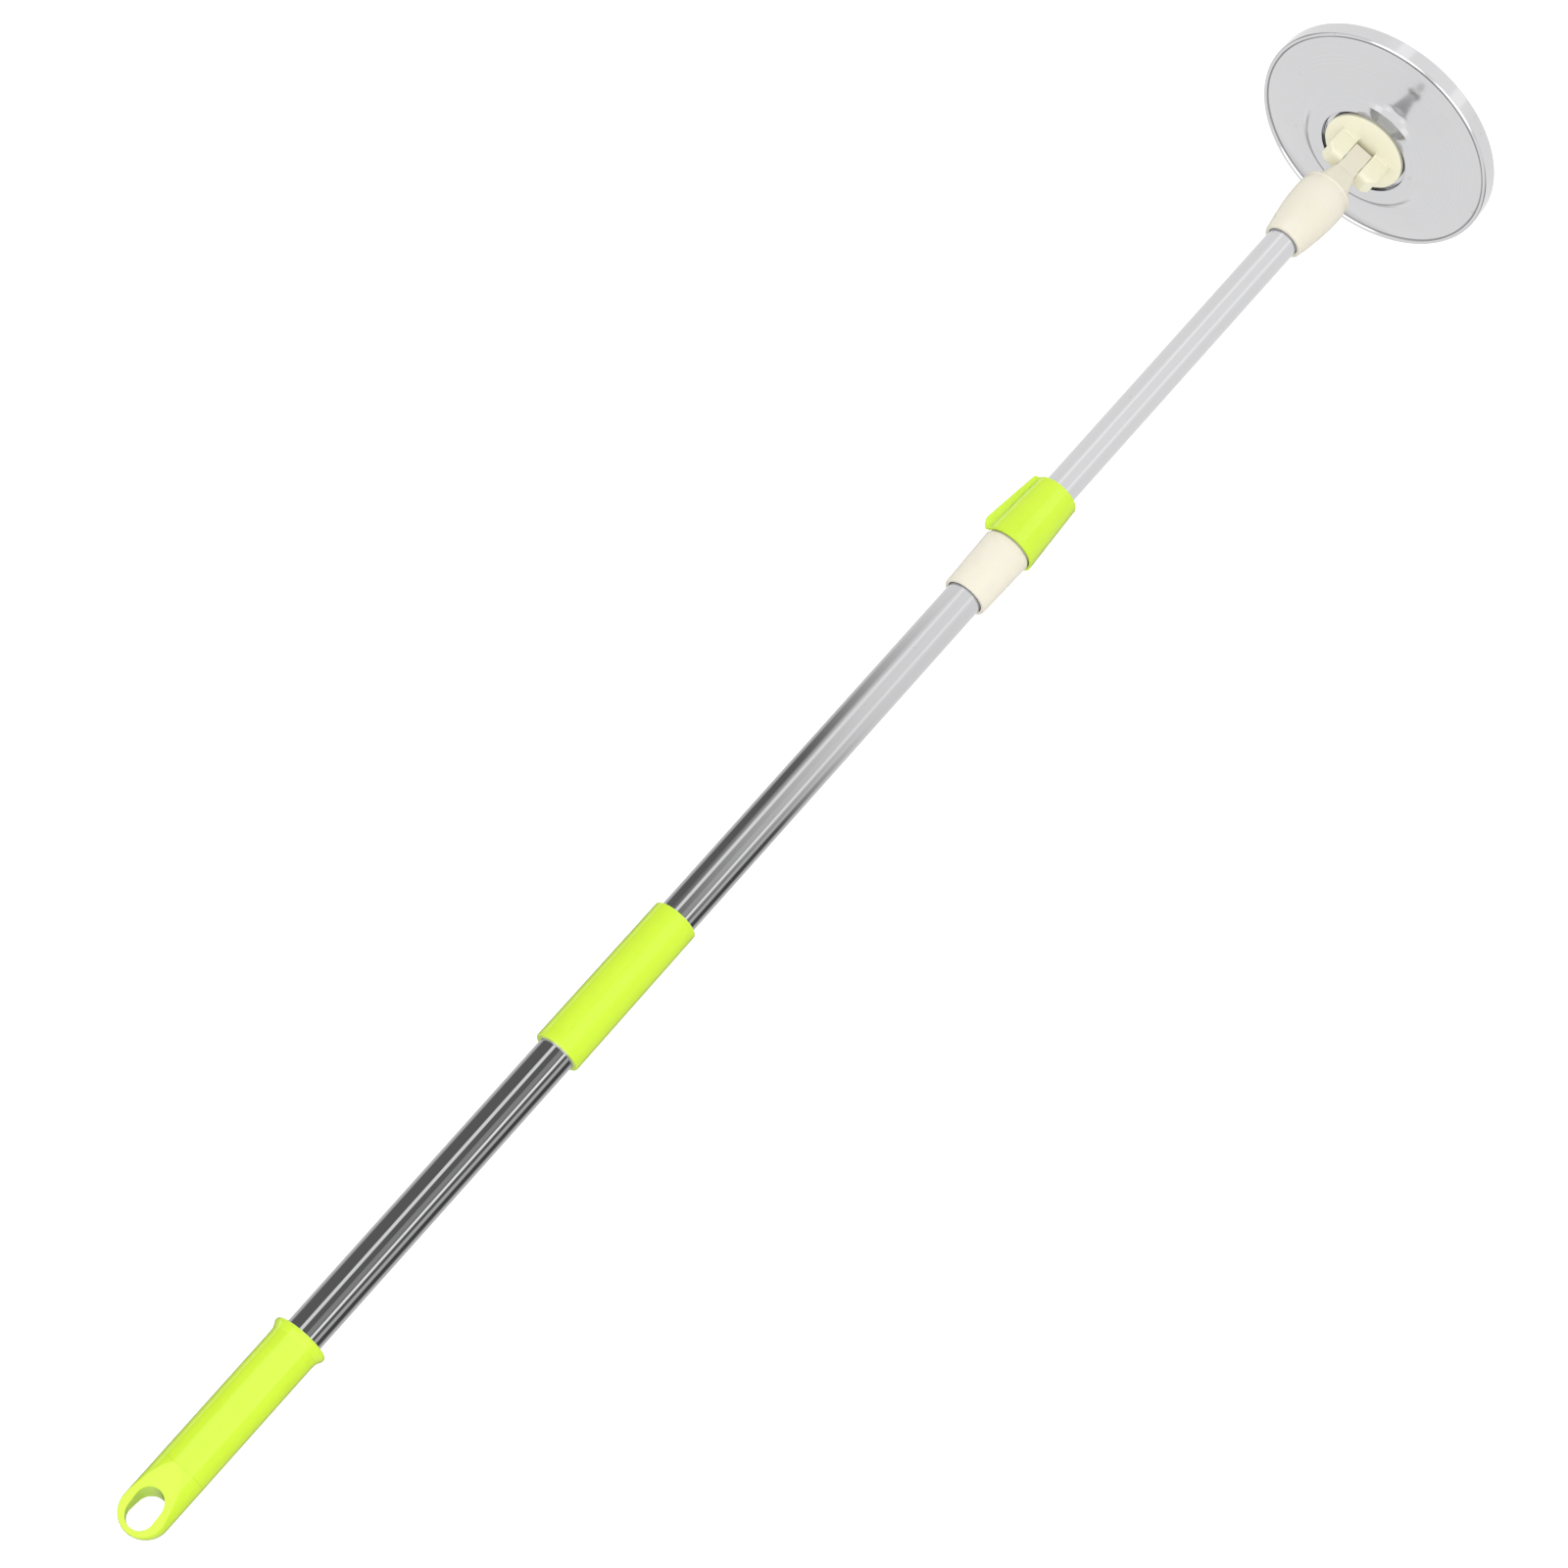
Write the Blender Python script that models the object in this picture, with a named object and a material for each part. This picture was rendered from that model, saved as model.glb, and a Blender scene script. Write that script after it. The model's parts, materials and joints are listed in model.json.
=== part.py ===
"""A telescopic mop pole with a flip-lever lock and a round, swivelling and spinning steel head.

The pole hangs from the slot in its end cap. The origin is the point in the top of that slot where
a hook bears, +Z runs up the pole, +X is the side that the cap's flat and the lever face, and the
head hangs below. Every size is in millimetres and becomes metres where a mesh is made.
"""

import math

import bmesh
import bpy
from mathutils import Matrix, Vector

MM = 0.001

# Fits
GAP = 0.3  # between two faces that meet
SEAT = 0.6  # between two ends that butt
LOOSE = 1.0  # between the closed lever and the collar under it
BROKEN_EDGE = 0.3  # taken off an edge where two mouldings meet
SOFT_EDGE = 0.8  # taken off an open edge
LEAD_IN = 1.0  # chamfer on the end of a plug
CUT_PAST = 2.0  # how far a cutter reaches past what it cuts

# Tubes
TUBE_RADIUS = 11.4
TUBE_WALL = 0.5
TELESCOPE_PLAY = 0.8  # outer tube's bore to the inner tube
TUBE_BORE = TUBE_RADIUS - TUBE_WALL
INNER_RADIUS = TUBE_BORE - TELESCOPE_PLAY
INNER_BORE = INNER_RADIUS - TUBE_WALL

# Hang cap
END_WALL = 3.0  # above the slot
SLOT_LENGTH = 23.4
SLOT_WIDTH = 17.0
CAP_LENGTH = 41.8
CAP_DOME = 14.5  # length of the rounded end
CAP_FLAT_HALF = 1.8  # half the cap's thickness at its tip
CAP_FLAT_TURN = 16.0  # degrees from +X to the way the flat faces
CAP_SPIGOT = 22.0
CAP_WEDGE_PAST = 5.0  # how far the flats' cutters reach past the cap's ends

# End grip and middle sleeve
GRIP_LENGTH = 95.1
GRIP_WALL = 3.05
GRIP_FLANGE = 2.0  # how far the flange stands out
GRIP_FLANGE_LENGTH = 4.5
GRIP_FLANGE_FACE = 1.2  # length of the flange's outermost face
GRIP_FLANGE_ROUND = 0.5
GRIP_FLANGE_CHAMFER = 1.5
UPPER_TUBE_SHOWN = 209.7  # grip flange to middle sleeve
SLEEVE_LENGTH = 102.6
SLEEVE_WALL_TOP = 2.8
SLEEVE_WALL_LOW = 2.4
SLEEVE_EDGE = 1.0

# Screwed joint inside the middle sleeve
JOINER_HOLD = 28.0  # length held in each tube
SPIGOT_RADIUS = 7.0
SPIGOT_LENGTH = 24.0
SOCKET_FLOOR = 3.0

# Lock collar
LOWER_TUBE_SHOWN = 261.8  # middle sleeve to collar
COLLAR_SLEEVE = 39.9  # the part of the collar above the lever
COLLAR_WALL_TOP = 2.4
COLLAR_WALL_LOW = 3.6
COLLAR_SEAT = 34.9  # depth of the tube in the collar
COLLAR_LIP = 0.7
COLLAR_STEP_EDGE = 0.4
COLLAR_PAST_LEVER = 1.0  # how far the lever runs past the collar's foot

# Lock lever, hinged on a pin that runs along the pole
LEVER_LENGTH = 46.7
LEVER_DROP = 0.8  # from the collar's step to the lever
LEVER_WALL = 1.9
LEVER_TAPER = 2.7  # how much the radius falls along the lever
LEVER_CLEAR_LOW = 2.3  # inner tube to the lever's bore at its low end
LEVER_EDGE = 0.9
LEVER_OPEN = 6.0  # degrees from the hinge to the shell's edge
LEVER_HINGE_TURN = -125.0  # degrees about Z from +X
LEVER_LIP_TURN = 82.0
LIP_HEIGHT_TOP = 6.3  # how far the finger lip stands out of the lever's bore
LIP_HEIGHT_LOW = 4.3
LIP_WALL = 2.2
LIP_OVERHANG = 1.0
LIP_LIFT = 1.2  # lip's overhang to the collar
LIP_ROUNDING = 6.5
LIP_BITE = 0.4  # how far the lip's root sinks into the shell
LIP_START = 1.0  # lever's low end to the lip
LIP_EDGE = 0.6
LIP_TOP_SHORT = 3.2  # how far the lip's top edge stops short of its tip
NOTCH_GAP = 1.4  # lever to the collar's lugs
PIN_RADIUS = 1.0
BOSS_RADIUS = 2.4
CAM_LIFT = 0.5
CAM_SPREAD = 100.0  # degrees over which the cam falls away
LUG_RADIUS = 2.2
LUG_LENGTH = 5.2
LUG_SUNK = 2.8  # how far the top lug runs into the collar
PIN_HOLD = 6.0  # length of the pin in the top lug
WEB_BITE = 0.6  # how far a lug's web starts outside the collar's bore
SHOE_THICKNESS = 1.4
SHOE_WIDTH = 8.0
SHOE_LENGTH = 20.0
SHOE_ROOT = 3.0  # how far the block reaches behind the pole's axis before its face is cut

# Inner tube and its guide plug
INNER_SHOWN = 224.9  # lever to neck
OVERLAP = 116.0  # collar's foot to the inner tube's top
GUIDE_HEAD = 4.0
GUIDE_LENGTH = 20.0

# Neck socket
NECK_SEAT = 32.5  # depth of the inner tube in the neck
NECK_MOUTH_WALL = 2.3
NECK_BELLY_WALL = 6.4
NECK_BELLY = 36.5  # mouth to the widest place
NECK_SHOULDER = 46.5  # mouth to the shoulder's ridge
NECK_SHOULDER_DROP = 1.4  # radius lost at the ridge
NECK_TO_PIVOT = 72.5
TONGUE_THICKNESS = 12.5
TONGUE_WIDTH = 13.0
TONGUE_REACH = 10.7  # pivot to the tongue's round end
CONE_STOP = 11.0  # pivot to the small end of the neck's cone
CONE_RADIUS = 8.0
CONE_BITE = 6.0  # how far the tongue runs into the cone
BELLY_STEPS = 8
RIDGE_ROUND = 1.2
PIVOT_RADIUS = 2.0

# Hub, in the head's own frame: origin on the pivot, +Z out of the disc towards the pole
HEAD_TILT = 7.0  # degrees from square, towards +X
HUB_DROP = 11.7  # pivot to the flange's face
HUB_RADIUS = 27.0
HUB_THICKNESS = 3.0
EAR_LENGTH = 12.0  # along the pivot
EAR_HALF_WIDTH = 6.8
EAR_TOP = 8.2  # above the pivot
EAR_ROUNDING = 3.6
EAR_CHAMFER = 4.5
SHAFT_RADIUS = 8.0
SHAFT_LENGTH = 13.3
WASHER_RADIUS = 11.0
WASHER_THICKNESS = 1.2
SCREW_RADIUS = 2.0
SCREW_HEAD_RADIUS = 3.6
SCREW_HEAD = 2.4
SCREW_POINT = 1.0
SCREW_POINT_INSET = 0.6
SCREW_LENGTH = 12.0
BUSH_WALL = 1.7

# Steel disc cover and the plate under it
DISC_RADIUS = 78.6
SHEET = 0.6
HOLE_GAP = 3.0  # hub flange to the cover's hole
PLATEAU_WIDTH = 9.5
PLATEAU_STEP = 3.4
PLATEAU_RUN = 5.0  # width of the slope down from the plateau
DOME_DROP = 9.0
DOME_BOW = 0.8  # how far the dome stands above a straight cone
BEAD_WIDTH = 3.2
BEAD_HEIGHT = 1.0
SKIRT_DEPTH = 10.2
LIP_TURN_IN = 2.6
PLATE_THICKNESS = 3.6
PLATE_FACE = 10.0  # cover's rim to the raised face under the plate
BOSS_WALL = 5.7
RECESS_GAP = 1.5  # washer to the wall round it
SKIRT_EDGE = 0.7
PLATE_EDGE = 0.6

# Heights down the pole
Z_TIP = END_WALL
Z_SEAM = Z_TIP - CAP_LENGTH
Z_GRIP_END = Z_SEAM - GRIP_LENGTH
Z_SLEEVE_TOP = Z_GRIP_END - UPPER_TUBE_SHOWN
Z_SLEEVE_END = Z_SLEEVE_TOP - SLEEVE_LENGTH
Z_JOINT = (Z_SLEEVE_TOP + Z_SLEEVE_END) / 2
Z_COLLAR_TOP = Z_SLEEVE_END - LOWER_TUBE_SHOWN
Z_TUBE_END = Z_COLLAR_TOP - COLLAR_SEAT
Z_STEP = Z_COLLAR_TOP - COLLAR_SLEEVE
Z_LEVER_TOP = Z_STEP - LEVER_DROP
Z_LEVER_END = Z_LEVER_TOP - LEVER_LENGTH
Z_COLLAR_END = Z_LEVER_END + COLLAR_PAST_LEVER
Z_NECK_MOUTH = Z_LEVER_END - INNER_SHOWN
Z_PIVOT = Z_NECK_MOUTH - NECK_TO_PIVOT
Z_INNER_TOP = Z_COLLAR_END + OVERLAP
Z_INNER_END = Z_NECK_MOUTH - NECK_SEAT

# Radii that fit on the tubes
COLLAR_BORE = INNER_RADIUS + GAP
COLLAR_RADIUS = TUBE_RADIUS + GAP + COLLAR_WALL_LOW
LEVER_BORE_LOW = COLLAR_BORE + LEVER_CLEAR_LOW
LEVER_BORE_TOP = LEVER_BORE_LOW + LEVER_TAPER
LEVER_RADIUS_TOP = LEVER_BORE_TOP + LEVER_WALL
LEVER_RADIUS_LOW = LEVER_BORE_LOW + LEVER_WALL
SHOE_FACE = COLLAR_BORE + SHOE_THICKNESS
HINGE_RADIUS = SHOE_FACE + GAP + CAM_LIFT + BOSS_RADIUS
Z_BOSS_TOP = Z_STEP - LUG_LENGTH
Z_BOSS_END = Z_COLLAR_END + LUG_LENGTH + COLLAR_PAST_LEVER
Z_SHOE = (Z_BOSS_TOP + Z_BOSS_END) / 2

# Heights in the head's frame
HUB_FACE = -HUB_DROP
HUB_BACK = HUB_FACE - HUB_THICKNESS
SHAFT_END = HUB_BACK - SHAFT_LENGTH
WASHER_TOP = SHAFT_END - GAP
WASHER_END = WASHER_TOP - WASHER_THICKNESS
HOLE_RADIUS = HUB_RADIUS + HOLE_GAP
PLATEAU_RADIUS = HOLE_RADIUS + PLATEAU_WIDTH
DOME_TOP_RADIUS = PLATEAU_RADIUS + PLATEAU_RUN
DOME_TOP = HUB_FACE - PLATEAU_STEP
DOME_RADIUS = DISC_RADIUS - BEAD_WIDTH
DOME_FOOT = DOME_TOP - DOME_DROP
SKIRT_END = DOME_FOOT - SKIRT_DEPTH
EAR_INNER = TONGUE_THICKNESS / 2 + GAP
EAR_OUTER = EAR_INNER + EAR_LENGTH
BUSH_BORE = SHAFT_RADIUS + GAP
BUSH_RADIUS = BUSH_BORE + BUSH_WALL

ROUND = 36  # facets round a pole piece
ROUND_SMALL = 24
ROUND_DISC = 64

MATERIALS = {
    "lime_plastic": ((0.60, 0.87, 0.03), 0.0, 0.35),
    "cream_plastic": ((0.85, 0.78, 0.60), 0.0, 0.4),
    "grey_plastic": ((0.25, 0.26, 0.27), 0.0, 0.5),
    "white_plastic": ((0.80, 0.80, 0.78), 0.0, 0.45),
    "tube_steel": ((0.62, 0.62, 0.63), 1.0, 0.15),
    "disc_steel": ((0.66, 0.66, 0.67), 1.0, 0.12),
    "pin_steel": ((0.50, 0.50, 0.52), 1.0, 0.3),
}


def clear_scene():
    for old in list(bpy.data.objects):
        bpy.data.objects.remove(old, do_unlink=True)


def finish(name, bm, material, home=None):
    """Turn a bmesh, in millimetres, into an object with its own material, under an axis empty."""
    bmesh.ops.recalc_face_normals(bm, faces=bm.faces)
    bmesh.ops.scale(bm, vec=(MM, MM, MM), verts=bm.verts)
    mesh = bpy.data.meshes.new(name)
    bm.to_mesh(mesh)
    bm.free()
    obj = bpy.data.objects.new(name, mesh)
    bpy.context.scene.collection.objects.link(obj)
    colour, metallic, roughness = MATERIALS[material]
    paint = bpy.data.materials.new(name)
    paint.use_nodes = True
    shader = paint.node_tree.nodes["Principled BSDF"]
    shader.inputs["Base Color"].default_value = (*colour, 1.0)
    shader.inputs["Metallic"].default_value = metallic
    shader.inputs["Roughness"].default_value = roughness
    mesh.materials.append(paint)
    if home is not None:
        obj.parent = home
    return obj


def axis_empty(name, location, turn=0.0, home=None):
    """An empty that marks a joint's axis; the pieces that move on it are its children."""
    empty = bpy.data.objects.new(name, None)
    empty.empty_display_size = 0.02
    empty.location = Vector(location) * MM
    empty.rotation_euler = (0.0, math.radians(turn), 0.0)
    empty.parent = home
    bpy.context.scene.collection.objects.link(empty)
    return empty


def keep_place(obj, home):
    """Parent an object that was built in the pole's frame without moving it."""
    bpy.context.view_layer.update()
    obj.parent = home
    obj.matrix_parent_inverse = home.matrix_world.inverted()


def lathe(name, profile, material, sides=ROUND, home=None, turn=None):
    """A solid turned about Z from a closed (radius, height) profile, all round or from turn[0] to turn[1]."""
    bm = bmesh.new()
    if turn is None:
        angles = [2 * math.pi * step / sides for step in range(sides)]
    else:
        first, last = (math.radians(value) for value in turn)
        angles = [first + (last - first) * step / sides for step in range(sides + 1)]
    rings = []
    for radius, height in profile:
        if radius < 1e-6:
            rings.append([bm.verts.new((0.0, 0.0, height))])
        else:
            rings.append([bm.verts.new((radius * math.cos(a), radius * math.sin(a), height)) for a in angles])
    for near, far in zip(rings, rings[1:] + rings[:1]):
        if len(near) == len(far) == 1:
            continue
        for step in range(sides):
            corners = [
                near[step % len(near)],
                near[(step + 1) % len(near)],
                far[(step + 1) % len(far)],
                far[step % len(far)],
            ]
            bm.faces.new(list(dict.fromkeys(corners)))
    if turn is not None:
        bm.faces.new([ring[0] for ring in rings])
        bm.faces.new([ring[-1] for ring in rings])
    return finish(name, bm, material, home)


def prism(name, outline, low, high, material, place=Matrix.Identity(4), home=None):
    """A solid with this (x, y) outline from z = low to z = high, then moved by place."""
    bm = bmesh.new()
    foot = [bm.verts.new((x, y, low)) for x, y in outline]
    head = [bm.verts.new((x, y, high)) for x, y in outline]
    bm.faces.new(foot)
    bm.faces.new(head)
    count = len(outline)
    for i in range(count):
        bm.faces.new([foot[i], foot[(i + 1) % count], head[(i + 1) % count], head[i]])
    bmesh.ops.transform(bm, matrix=place, verts=bm.verts)
    return finish(name, bm, material, home)


def combine(target, tool, operation):
    """Join or cut with a helper object that isn't itself a piece."""
    tool.hide_render = True
    tool.display_type = "WIRE"
    modifier = target.modifiers.new(tool.name, "BOOLEAN")
    modifier.operation = operation
    modifier.solver = "EXACT"
    modifier.object = tool


def cut(target, tool):
    combine(target, tool, "DIFFERENCE")


def join(target, tool):
    combine(target, tool, "UNION")


def circle(radius, sides, centre=(0.0, 0.0)):
    return [
        (
            centre[0] + radius * math.cos(2 * math.pi * (step + 0.5) / sides),
            centre[1] + radius * math.sin(2 * math.pi * (step + 0.5) / sides),
        )
        for step in range(sides)
    ]


def arc(centre, radius, start, end, steps):
    """Points of a circular arc, with angles in degrees."""
    return [
        (
            centre[0] + radius * math.cos(math.radians(start + (end - start) * step / steps)),
            centre[1] + radius * math.sin(math.radians(start + (end - start) * step / steps)),
        )
        for step in range(steps + 1)
    ]


def facing(turn):
    """Outline x becomes radius and y becomes height, in the upright plane at this turn about Z."""
    return Matrix.Rotation(math.radians(turn), 4, "Z") @ Matrix.Rotation(math.pi / 2, 4, "X")


def at_hinge(radius, turn):
    """Outline x points away from the pole, with its origin at this radius and turn."""
    return Matrix.Rotation(math.radians(turn), 4, "Z") @ Matrix.Translation((radius, 0.0, 0.0))


ALONG_Y = Matrix.Rotation(math.pi / 2, 4, "X")  # outline (x, z), extruded along -Y


def make_hang_cap():
    radius = TUBE_RADIUS + GAP + GRIP_WALL
    dome = Z_TIP - CAP_DOME
    spigot, foot = TUBE_BORE - GAP, Z_SEAM - CAP_SPIGOT
    profile = [(0.0, foot), (spigot - LEAD_IN, foot), (spigot, foot + LEAD_IN), (spigot, Z_SEAM)]
    profile += [(radius - BROKEN_EDGE, Z_SEAM), (radius, Z_SEAM + BROKEN_EDGE), (radius, dome)]
    profile += [
        (radius * math.cos(math.radians(a)), dome + CAP_DOME * math.sin(math.radians(a)))
        for a in (15, 30, 45, 60, 75)
    ]
    profile += [(0.0, Z_TIP)]
    cap = lathe("hang_cap", profile, "lime_plastic")
    slope = (radius - CAP_FLAT_HALF) / CAP_LENGTH
    run = CAP_WEDGE_PAST
    wedge = [
        (radius + slope * run, Z_SEAM - run),
        (CAP_FLAT_HALF - slope * run, Z_TIP + run),
        (2 * radius, Z_TIP + run),
        (2 * radius, Z_SEAM - run),
    ]
    for side, turn in (("front", CAP_FLAT_TURN), ("back", CAP_FLAT_TURN + 180.0)):
        flat = prism(f"cut_flat_{side}", wedge, -1.5 * radius, 1.5 * radius, "lime_plastic", facing(turn))
        cut(cap, flat)
    half = SLOT_WIDTH / 2
    slot = arc((0.0, -half), half, 0, 180, 12) + arc((0.0, half - SLOT_LENGTH), half, 180, 360, 12)
    through = facing(CAP_FLAT_TURN + 90.0)
    cut(cap, prism("cut_slot", slot, -1.5 * radius, 1.5 * radius, "lime_plastic", through))


def make_grips():
    bore = TUBE_RADIUS + GAP
    radius = bore + GRIP_WALL
    rim = radius + GRIP_FLANGE
    top, end = Z_SEAM - GAP, Z_GRIP_END
    bead = GRIP_FLANGE_LENGTH / 2
    face, turn_in = GRIP_FLANGE_FACE / 2, GRIP_FLANGE_ROUND
    flange = end + GRIP_FLANGE_LENGTH
    grip = [(bore, top), (radius - BROKEN_EDGE, top), (radius, top - BROKEN_EDGE), (radius, flange + 1.2)]
    grip += [(radius + 0.4, flange + 0.3)]
    grip += [(rim - turn_in, flange - 0.4), (rim, end + bead + face), (rim, end + bead - face)]
    grip += [(rim - turn_in, end + 0.4), (rim - GRIP_FLANGE_CHAMFER, end), (bore, end)]
    lathe("end_grip", grip, "lime_plastic")

    wide, slim = bore + SLEEVE_WALL_TOP, bore + SLEEVE_WALL_LOW
    e = SLEEVE_EDGE
    top, end = Z_SLEEVE_TOP, Z_SLEEVE_END
    sleeve = [(bore, top), (wide - e, top), (wide - 0.3 * e, top - 0.3 * e), (wide, top - e)]
    sleeve += [(slim, end + e), (slim - 0.3 * e, end + 0.3 * e), (slim - e, end), (bore, end)]
    lathe("mid_sleeve", sleeve, "lime_plastic")


def ring(name, bore, radius, top, end, material, sides=ROUND, home=None):
    return lathe(name, [(bore, end), (radius, end), (radius, top), (bore, top)], material, sides, home)


def make_outer_tubes():
    ring("tube_upper", TUBE_BORE, TUBE_RADIUS, Z_SEAM - SEAT, Z_JOINT + GAP, "tube_steel")
    ring("tube_lower", TUBE_BORE, TUBE_RADIUS, Z_JOINT - GAP, Z_TUBE_END, "tube_steel")
    body = TUBE_BORE - GAP
    plug = [(0.0, Z_JOINT + JOINER_HOLD), (body, Z_JOINT + JOINER_HOLD), (body, Z_JOINT + GAP)]
    plug += [(SPIGOT_RADIUS, Z_JOINT + GAP), (SPIGOT_RADIUS, Z_JOINT - SPIGOT_LENGTH + LEAD_IN)]
    plug += [(SPIGOT_RADIUS - LEAD_IN, Z_JOINT - SPIGOT_LENGTH), (0.0, Z_JOINT - SPIGOT_LENGTH)]
    lathe("joiner_plug", plug, "grey_plastic", ROUND_SMALL)
    floor = Z_JOINT - SPIGOT_LENGTH - SEAT
    bore = SPIGOT_RADIUS + GAP
    socket = [(bore, Z_JOINT - GAP), (body, Z_JOINT - GAP), (body, floor - SOCKET_FLOOR)]
    socket += [(0.0, floor - SOCKET_FLOOR), (0.0, floor), (bore, floor)]
    lathe("joiner_socket", socket, "grey_plastic", ROUND_SMALL)


def cam_outline(boss, lift, spread):
    """The lever's boss, seen down the pin: round, with a rise that faces the pole when closed."""
    points = []
    for step in range(36):
        turn = step * 10.0
        away = abs(turn - 180.0)
        reach = boss + lift * max(0.0, 1.0 - away / spread)
        points.append((reach * math.cos(math.radians(turn)), reach * math.sin(math.radians(turn))))
    return points


def make_collar(hinge):
    tube = TUBE_RADIUS + GAP
    top, low = tube + COLLAR_WALL_TOP, COLLAR_RADIUS
    under_top, under_low = LEVER_BORE_TOP - LOOSE, LEVER_BORE_LOW - LOOSE
    shoulder = Z_TUBE_END - GAP
    outside = [(top - COLLAR_LIP, Z_COLLAR_TOP), (top, Z_COLLAR_TOP - COLLAR_LIP)]
    outside += [(low, Z_STEP + COLLAR_STEP_EDGE), (low - COLLAR_STEP_EDGE, Z_STEP)]
    outside += [(under_top, Z_STEP), (under_low, Z_COLLAR_END)]
    inside = [(COLLAR_BORE, Z_COLLAR_END), (COLLAR_BORE, shoulder), (tube, shoulder), (tube, Z_COLLAR_TOP)]
    collar = lathe("lock_collar", outside + inside, "cream_plastic")
    lug = circle(LUG_RADIUS, 20)
    for name, high, end in (
        ("lug_top", Z_STEP + LUG_SUNK, Z_BOSS_TOP),
        ("lug_end", Z_BOSS_END, Z_COLLAR_END),
    ):
        join(collar, prism(name, lug, end, high, "cream_plastic", hinge))
        root = -HINGE_RADIUS + COLLAR_BORE + WEB_BITE
        web = [(root, -LUG_RADIUS), (0.0, -LUG_RADIUS), (0.0, LUG_RADIUS), (root, LUG_RADIUS)]
        join(collar, prism(f"{name}_web", web, end, high, "cream_plastic", hinge))
    pocket = circle(BOSS_RADIUS + CAM_LIFT + GAP, 24)
    cut(collar, prism("cut_pocket", pocket, Z_BOSS_END, Z_BOSS_TOP, "cream_plastic", hinge))
    inner, outer, half = COLLAR_BORE - HINGE_RADIUS - CUT_PAST, CUT_PAST / 2, SHOE_WIDTH / 2 + GAP
    window = [(inner, -half), (outer, -half), (outer, half), (inner, half)]
    low, high = Z_SHOE - SHOE_LENGTH / 2 - GAP, Z_SHOE + SHOE_LENGTH / 2 + GAP
    cut(collar, prism("cut_window", window, low, high, "cream_plastic", hinge))
    hole = circle(PIN_RADIUS + GAP, 16)
    bottom = Z_BOSS_TOP + PIN_HOLD
    cut(collar, prism("cut_pin_hole", hole, Z_COLLAR_END - CUT_PAST, bottom, "cream_plastic", hinge))
    pin = circle(PIN_RADIUS, 16)
    prism("lever_pin", pin, Z_COLLAR_END + GAP, bottom - GAP, "pin_steel", hinge)


def make_lever(hinge, axis):
    top, end = Z_LEVER_TOP, Z_LEVER_END
    edge = BROKEN_EDGE
    shell = [(LEVER_BORE_TOP, top), (LEVER_RADIUS_TOP - edge, top), (LEVER_RADIUS_TOP, top - edge)]
    shell += [(LEVER_RADIUS_LOW, end + LEVER_EDGE), (LEVER_RADIUS_LOW - edge, end + edge)]
    shell += [(LEVER_RADIUS_LOW - LEVER_EDGE, end), (LEVER_BORE_LOW, end)]
    span = (LEVER_HINGE_TURN + LEVER_OPEN, LEVER_LIP_TURN)
    lever = lathe("lock_lever", shell, "lime_plastic", 36, None, span)
    low_edge = LEVER_BORE_LOW + LIP_HEIGHT_LOW
    top_edge = LEVER_BORE_TOP + LIP_HEIGHT_TOP
    foot = COLLAR_RADIUS + LIP_LIFT
    high = top + LIP_OVERHANG
    start = end + LIP_START
    lip = [(LEVER_BORE_LOW + LIP_BITE, start), (low_edge - LIP_EDGE, start), (low_edge, start + LIP_EDGE)]
    lip += [(top_edge, high - LIP_ROUNDING), (top_edge - 0.4, high - 0.6 * LIP_ROUNDING)]
    lip += [(top_edge - 1.5, high - 0.25 * LIP_ROUNDING), (top_edge - LIP_TOP_SHORT, high), (foot, high)]
    lip += [(foot, top - 1.0), (LEVER_BORE_TOP + LIP_BITE, top - 1.5)]
    turn = LEVER_LIP_TURN
    fin = prism("lever_lip", lip, -LIP_WALL * 0.02, LIP_WALL, "lime_plastic", facing(turn))
    join(lever, fin)
    boss = cam_outline(BOSS_RADIUS, CAM_LIFT, CAM_SPREAD)
    high, low = Z_BOSS_TOP - GAP, Z_BOSS_END + GAP
    join(lever, prism("lever_boss", boss, low, high, "lime_plastic", hinge))
    notch = circle(LUG_RADIUS + NOTCH_GAP, 24)
    cut(lever, prism("cut_notch_top", notch, high, top + CUT_PAST, "lime_plastic", hinge))
    cut(lever, prism("cut_notch_end", notch, end - CUT_PAST, low, "lime_plastic", hinge))
    bore = circle(PIN_RADIUS + GAP, 16)
    cut(lever, prism("cut_boss_bore", bore, end - CUT_PAST, top + CUT_PAST, "lime_plastic", hinge))
    keep_place(lever, axis)


def make_shoe(axis):
    half = SHOE_WIDTH / 2
    reach = [(-SHOE_ROOT, -half), (SHOE_FACE, -half), (SHOE_FACE, half), (-SHOE_ROOT, half)]
    low, high = Z_SHOE - SHOE_LENGTH / 2, Z_SHOE + SHOE_LENGTH / 2
    turned = at_hinge(0.0, LEVER_HINGE_TURN)
    shoe = prism("brake_shoe", reach, low, high, "grey_plastic", turned)
    face = circle(INNER_RADIUS + GAP, ROUND)
    cut(shoe, prism("cut_shoe_face", face, low - CUT_PAST, high + CUT_PAST, "grey_plastic"))
    keep_place(shoe, axis)


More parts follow.
